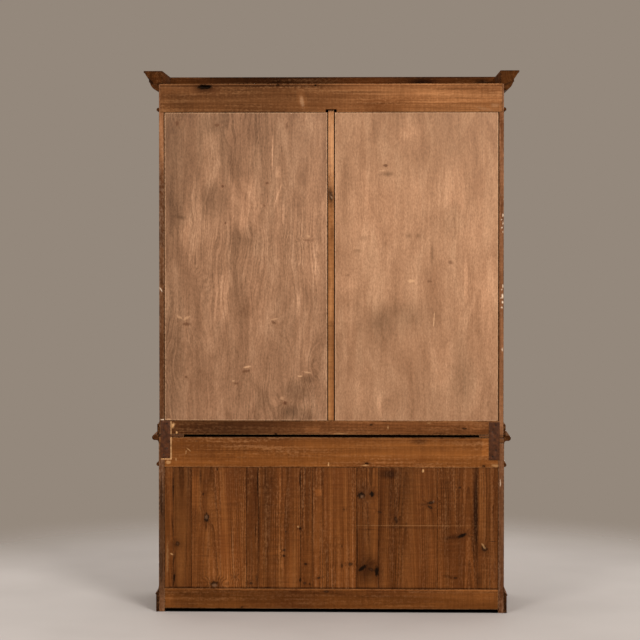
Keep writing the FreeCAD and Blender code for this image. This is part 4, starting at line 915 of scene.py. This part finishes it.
boards = dress("lower_back_boards", "boardsA", "board", boardTones)
reface(boards, "boardsB", lambda center, normal: boardSplits[1] < center.x <= boardSplits[0])
reface(boards, "boardsC", lambda center, normal: center.x <= boardSplits[1])
reface(dress("lower_back_rails", "midRail", "rail", [0.7, 0.99], hollows["midRail"]), "freshCut", inPlateBed)
dress("upper_back_top_rail", "topRail", "rail", [1.0], hollows["topRail"])
bottomRail = dress("upper_back_bottom_rail", "upperBottom", "thinRail", [1.0], hollows["upperBottom"])
reface(bottomRail, "freshCut", inPlateBed)
reface(dress("upper_back_muntin", "muntin", "muntin"), "rearEndAndShade", inMuntinGap)
for node, name in (("upper_back_panel_right", "plyLeft"), ("upper_back_panel_left", "plyRight")):
    panel = dress(node, name + "Low", "ply")
    editAll(panel)
    bpy.ops.mesh.bisect(plane_co=(0.0, 0.0, plySplit), plane_no=(0.0, 0.0, 1.0))
    bpy.ops.object.mode_set(mode="OBJECT")
    reface(panel, name + "Top", lambda center, normal: center.z > plySplit)
print("back dressed")

frontNodes = ["upper_side_left", "upper_side_right", "upper_floor", "waist_top", "lower_side_left",
              "lower_side_right", "lower_floor", "upper_face_frame", "lower_face_frame", "door_stops"]
mouldNodes = ["cornice_moulding", "bead_mouldings", "upper_plinth_moulding", "waist_moulding", "base_skirting"]
innerNodes = ["upper_roof", "upper_shelves", "shelf_racks", "case_bearers", "lower_partition", "lower_shelves",
              "drawer_runners", "drawer_left_box", "drawer_right_box"]
for node in frontNodes:
    piece = dress(node, "front")
    if "_side_" in node:
        reface(piece, "sideEdge", looksBack)
        reface(piece, "freshCut", inPlateBed)
for node in mouldNodes:
    piece = dress(node, "front", "mould", smooth=30.0)
    reface(piece, "rearEndAndShade", unpolished if node == "cornice_moulding" else looksBack)
for node in innerNodes:
    piece = dress(node, "inner")
    if node == "case_bearers":
        reface(piece, "front", looksBack)
    if node == "upper_roof":  # dust has settled on top
        reface(piece, "dusty", lambda center, normal: normal.z > facing)
for side in ("left", "right"):
    dress(f"glazed_door_{side}_frame", "front")
    dress(f"glazed_door_{side}_bars", "front", "slim")
    dress(f"panel_door_{side}_frame", "front")
    dress(f"panel_door_{side}_panels", "front", "slim")
    dress(f"drawer_{side}_front", "front")
    dress(f"drawer_{side}_knobs", "front", "none")
print("case, doors and drawers dressed")

for side in ("left", "right"):
    for door in ("glazed_door", "panel_door"):
        dress(f"{door}_{side}_hinges_and_lock", "brass", "metal", wood=False)
        dress(f"{door}_{side}_key", "steel", "none", wood=False)
        dress(f"{door}_{side}_bolt", "steel", "bolt", wood=False)
    panes = frame["nodes"][f"glazed_door_{side}_panes"]
    panes.data.materials.clear()
    panes.data.materials.append(finishes["glass"])
dress("case_hinge_leaves_and_strikes", "brass", "metal", wood=False)
dress("joining_plates", "plate", "plate", wood=False)
dress("joining_screws", "screw", "none", wood=False)
print("metal and glass dressed")


floorLook = {"radius": 3.4, "level": -0.0004, "fadeFrom": 1.7, "fadeTo": 3.1, "pale": (184, 180, 178),
             "scuffed": (179, 175, 173), "under": (10, 8, 6), "half": (0.795, 0.2545), "soft": 0.006, "rough": 0.55}


def paleFloor():
    clearSelection()
    bpy.ops.mesh.primitive_circle_add(vertices=128, radius=floorLook["radius"], fill_type="NGON",
                                      location=(0, 0, floorLook["level"]))
    floor = bpy.context.object
    floor.name = "pale_floor"
    material, tree, shader = startFinish("pale floor")
    shade = shades(floorLook)
    spot = objectPlace(tree)
    scuff = cloud(tree, spot, (2.0, 2.0, 2.0), 4.0)
    base = tint(tree, fade(tree, scuff, 0.35, 0.75), shade["pale"], shade["scuffed"])
    # dark beneath the case, where no light comes
    wide, deep, _ = parts(tree, vector(tree, "ABSOLUTE", spot))
    off = (calc(tree, "SUBTRACT", reach, half) for reach, half in zip((wide, deep), floorLook["half"]))
    under = fade(tree, calc(tree, "MAXIMUM", *off), 0.0, -floorLook["soft"])
    base = tint(tree, under, base, shade["under"])
    seen = fade(tree, length(tree, spot), floorLook["fadeTo"], floorLook["fadeFrom"])
    fill(tree, shader, {"Base Color": base, "Alpha": seen, "Roughness": floorLook["rough"]})
    floor.data.materials.append(material)
    return floor


lampLook = {  # place, aim, size, watts, shade
    "key": ((-7.0, 12.0, 9.0), (0.0, 0.2, 1.2), 5.0, 1850.0, (1.0, 0.95, 0.90)),
    "fill": ((7.5, 12.0, 7.5), (0.0, 0.2, 1.2), 5.0, 910.0, (1.0, 0.94, 0.88)),
    "over": ((0.0, -0.7, 9.0), (0.0, -0.3, 0.0), 6.0, 450.0, (1.0, 0.97, 0.94)),
    "frontKey": ((3.4, -6.4, 5.6), (0.0, -0.2, 1.3), 2.0, 15.0, (1.0, 0.95, 0.90)),
    "frontFill": ((-4.2, -6.2, 2.6), (0.0, -0.2, 1.2), 2.0, 10.0, (0.97, 0.97, 1.0)),
}
lampSpread = {"frontKey": 30.0, "frontFill": 30.0}
studioGrey = (148, 136, 124)


def studio(floor):
    keptOff = bpy.data.collections.new("not lit by front lamps")
    keptOff.objects.link(floor)
    keptOff.collection_objects[0].light_linking.link_state = "EXCLUDE"
    for name, (place, aim, size, watts, shade) in lampLook.items():
        data = bpy.data.lights.new(name, "AREA")
        data.shape = "DISK"
        data.size = size
        data.energy = watts
        data.color = shade
        data.spread = math.radians(lampSpread.get(name, 180.0))
        lamp = bpy.data.objects.new(name, data)
        lamp.location = place
        lamp.rotation_euler = (Vector(aim) - Vector(place)).to_track_quat("-Z", "Y").to_euler()
        bpy.context.scene.collection.objects.link(lamp)
        if name in lampSpread:  # the front lamps show the doors, and leave the floor to the others
            lamp.light_linking.receiver_collection = keptOff
            lamp.visible_glossy = False  # no glare along the mouldings
    world = bpy.data.worlds.new("studio grey")
    world.use_nodes = True
    sky = world.node_tree.nodes["Background"]
    sky.inputs["Color"].default_value = colour(*studioGrey)
    sky.inputs["Strength"].default_value = 1.0
    bpy.context.scene.world = world
    bpy.context.scene.view_settings.view_transform = "Standard"


cameraLook = {"place": (-0.156, 9.0055, 1.757), "lens": 107.0, "sensor": 36.0, "tiltDown": 0.93, "yaw": 1.355,
              "shiftY": -0.09, "clipEnd": 60.0}


def photoCamera():
    data = bpy.data.cameras.new("photo camera")
    data.lens = cameraLook["lens"]
    data.sensor_width = cameraLook["sensor"]
    data.shift_y = cameraLook["shiftY"]
    data.clip_end = cameraLook["clipEnd"]
    camera = bpy.data.objects.new("photo camera", data)
    camera.location = cameraLook["place"]
    camera.rotation_euler = (math.radians(90 - cameraLook["tiltDown"]), 0.0, math.radians(180 + cameraLook["yaw"]))
    bpy.context.scene.collection.objects.link(camera)
    bpy.context.scene.camera = camera


studio(paleFloor())
photoCamera()
print("stage, lamps and camera set")
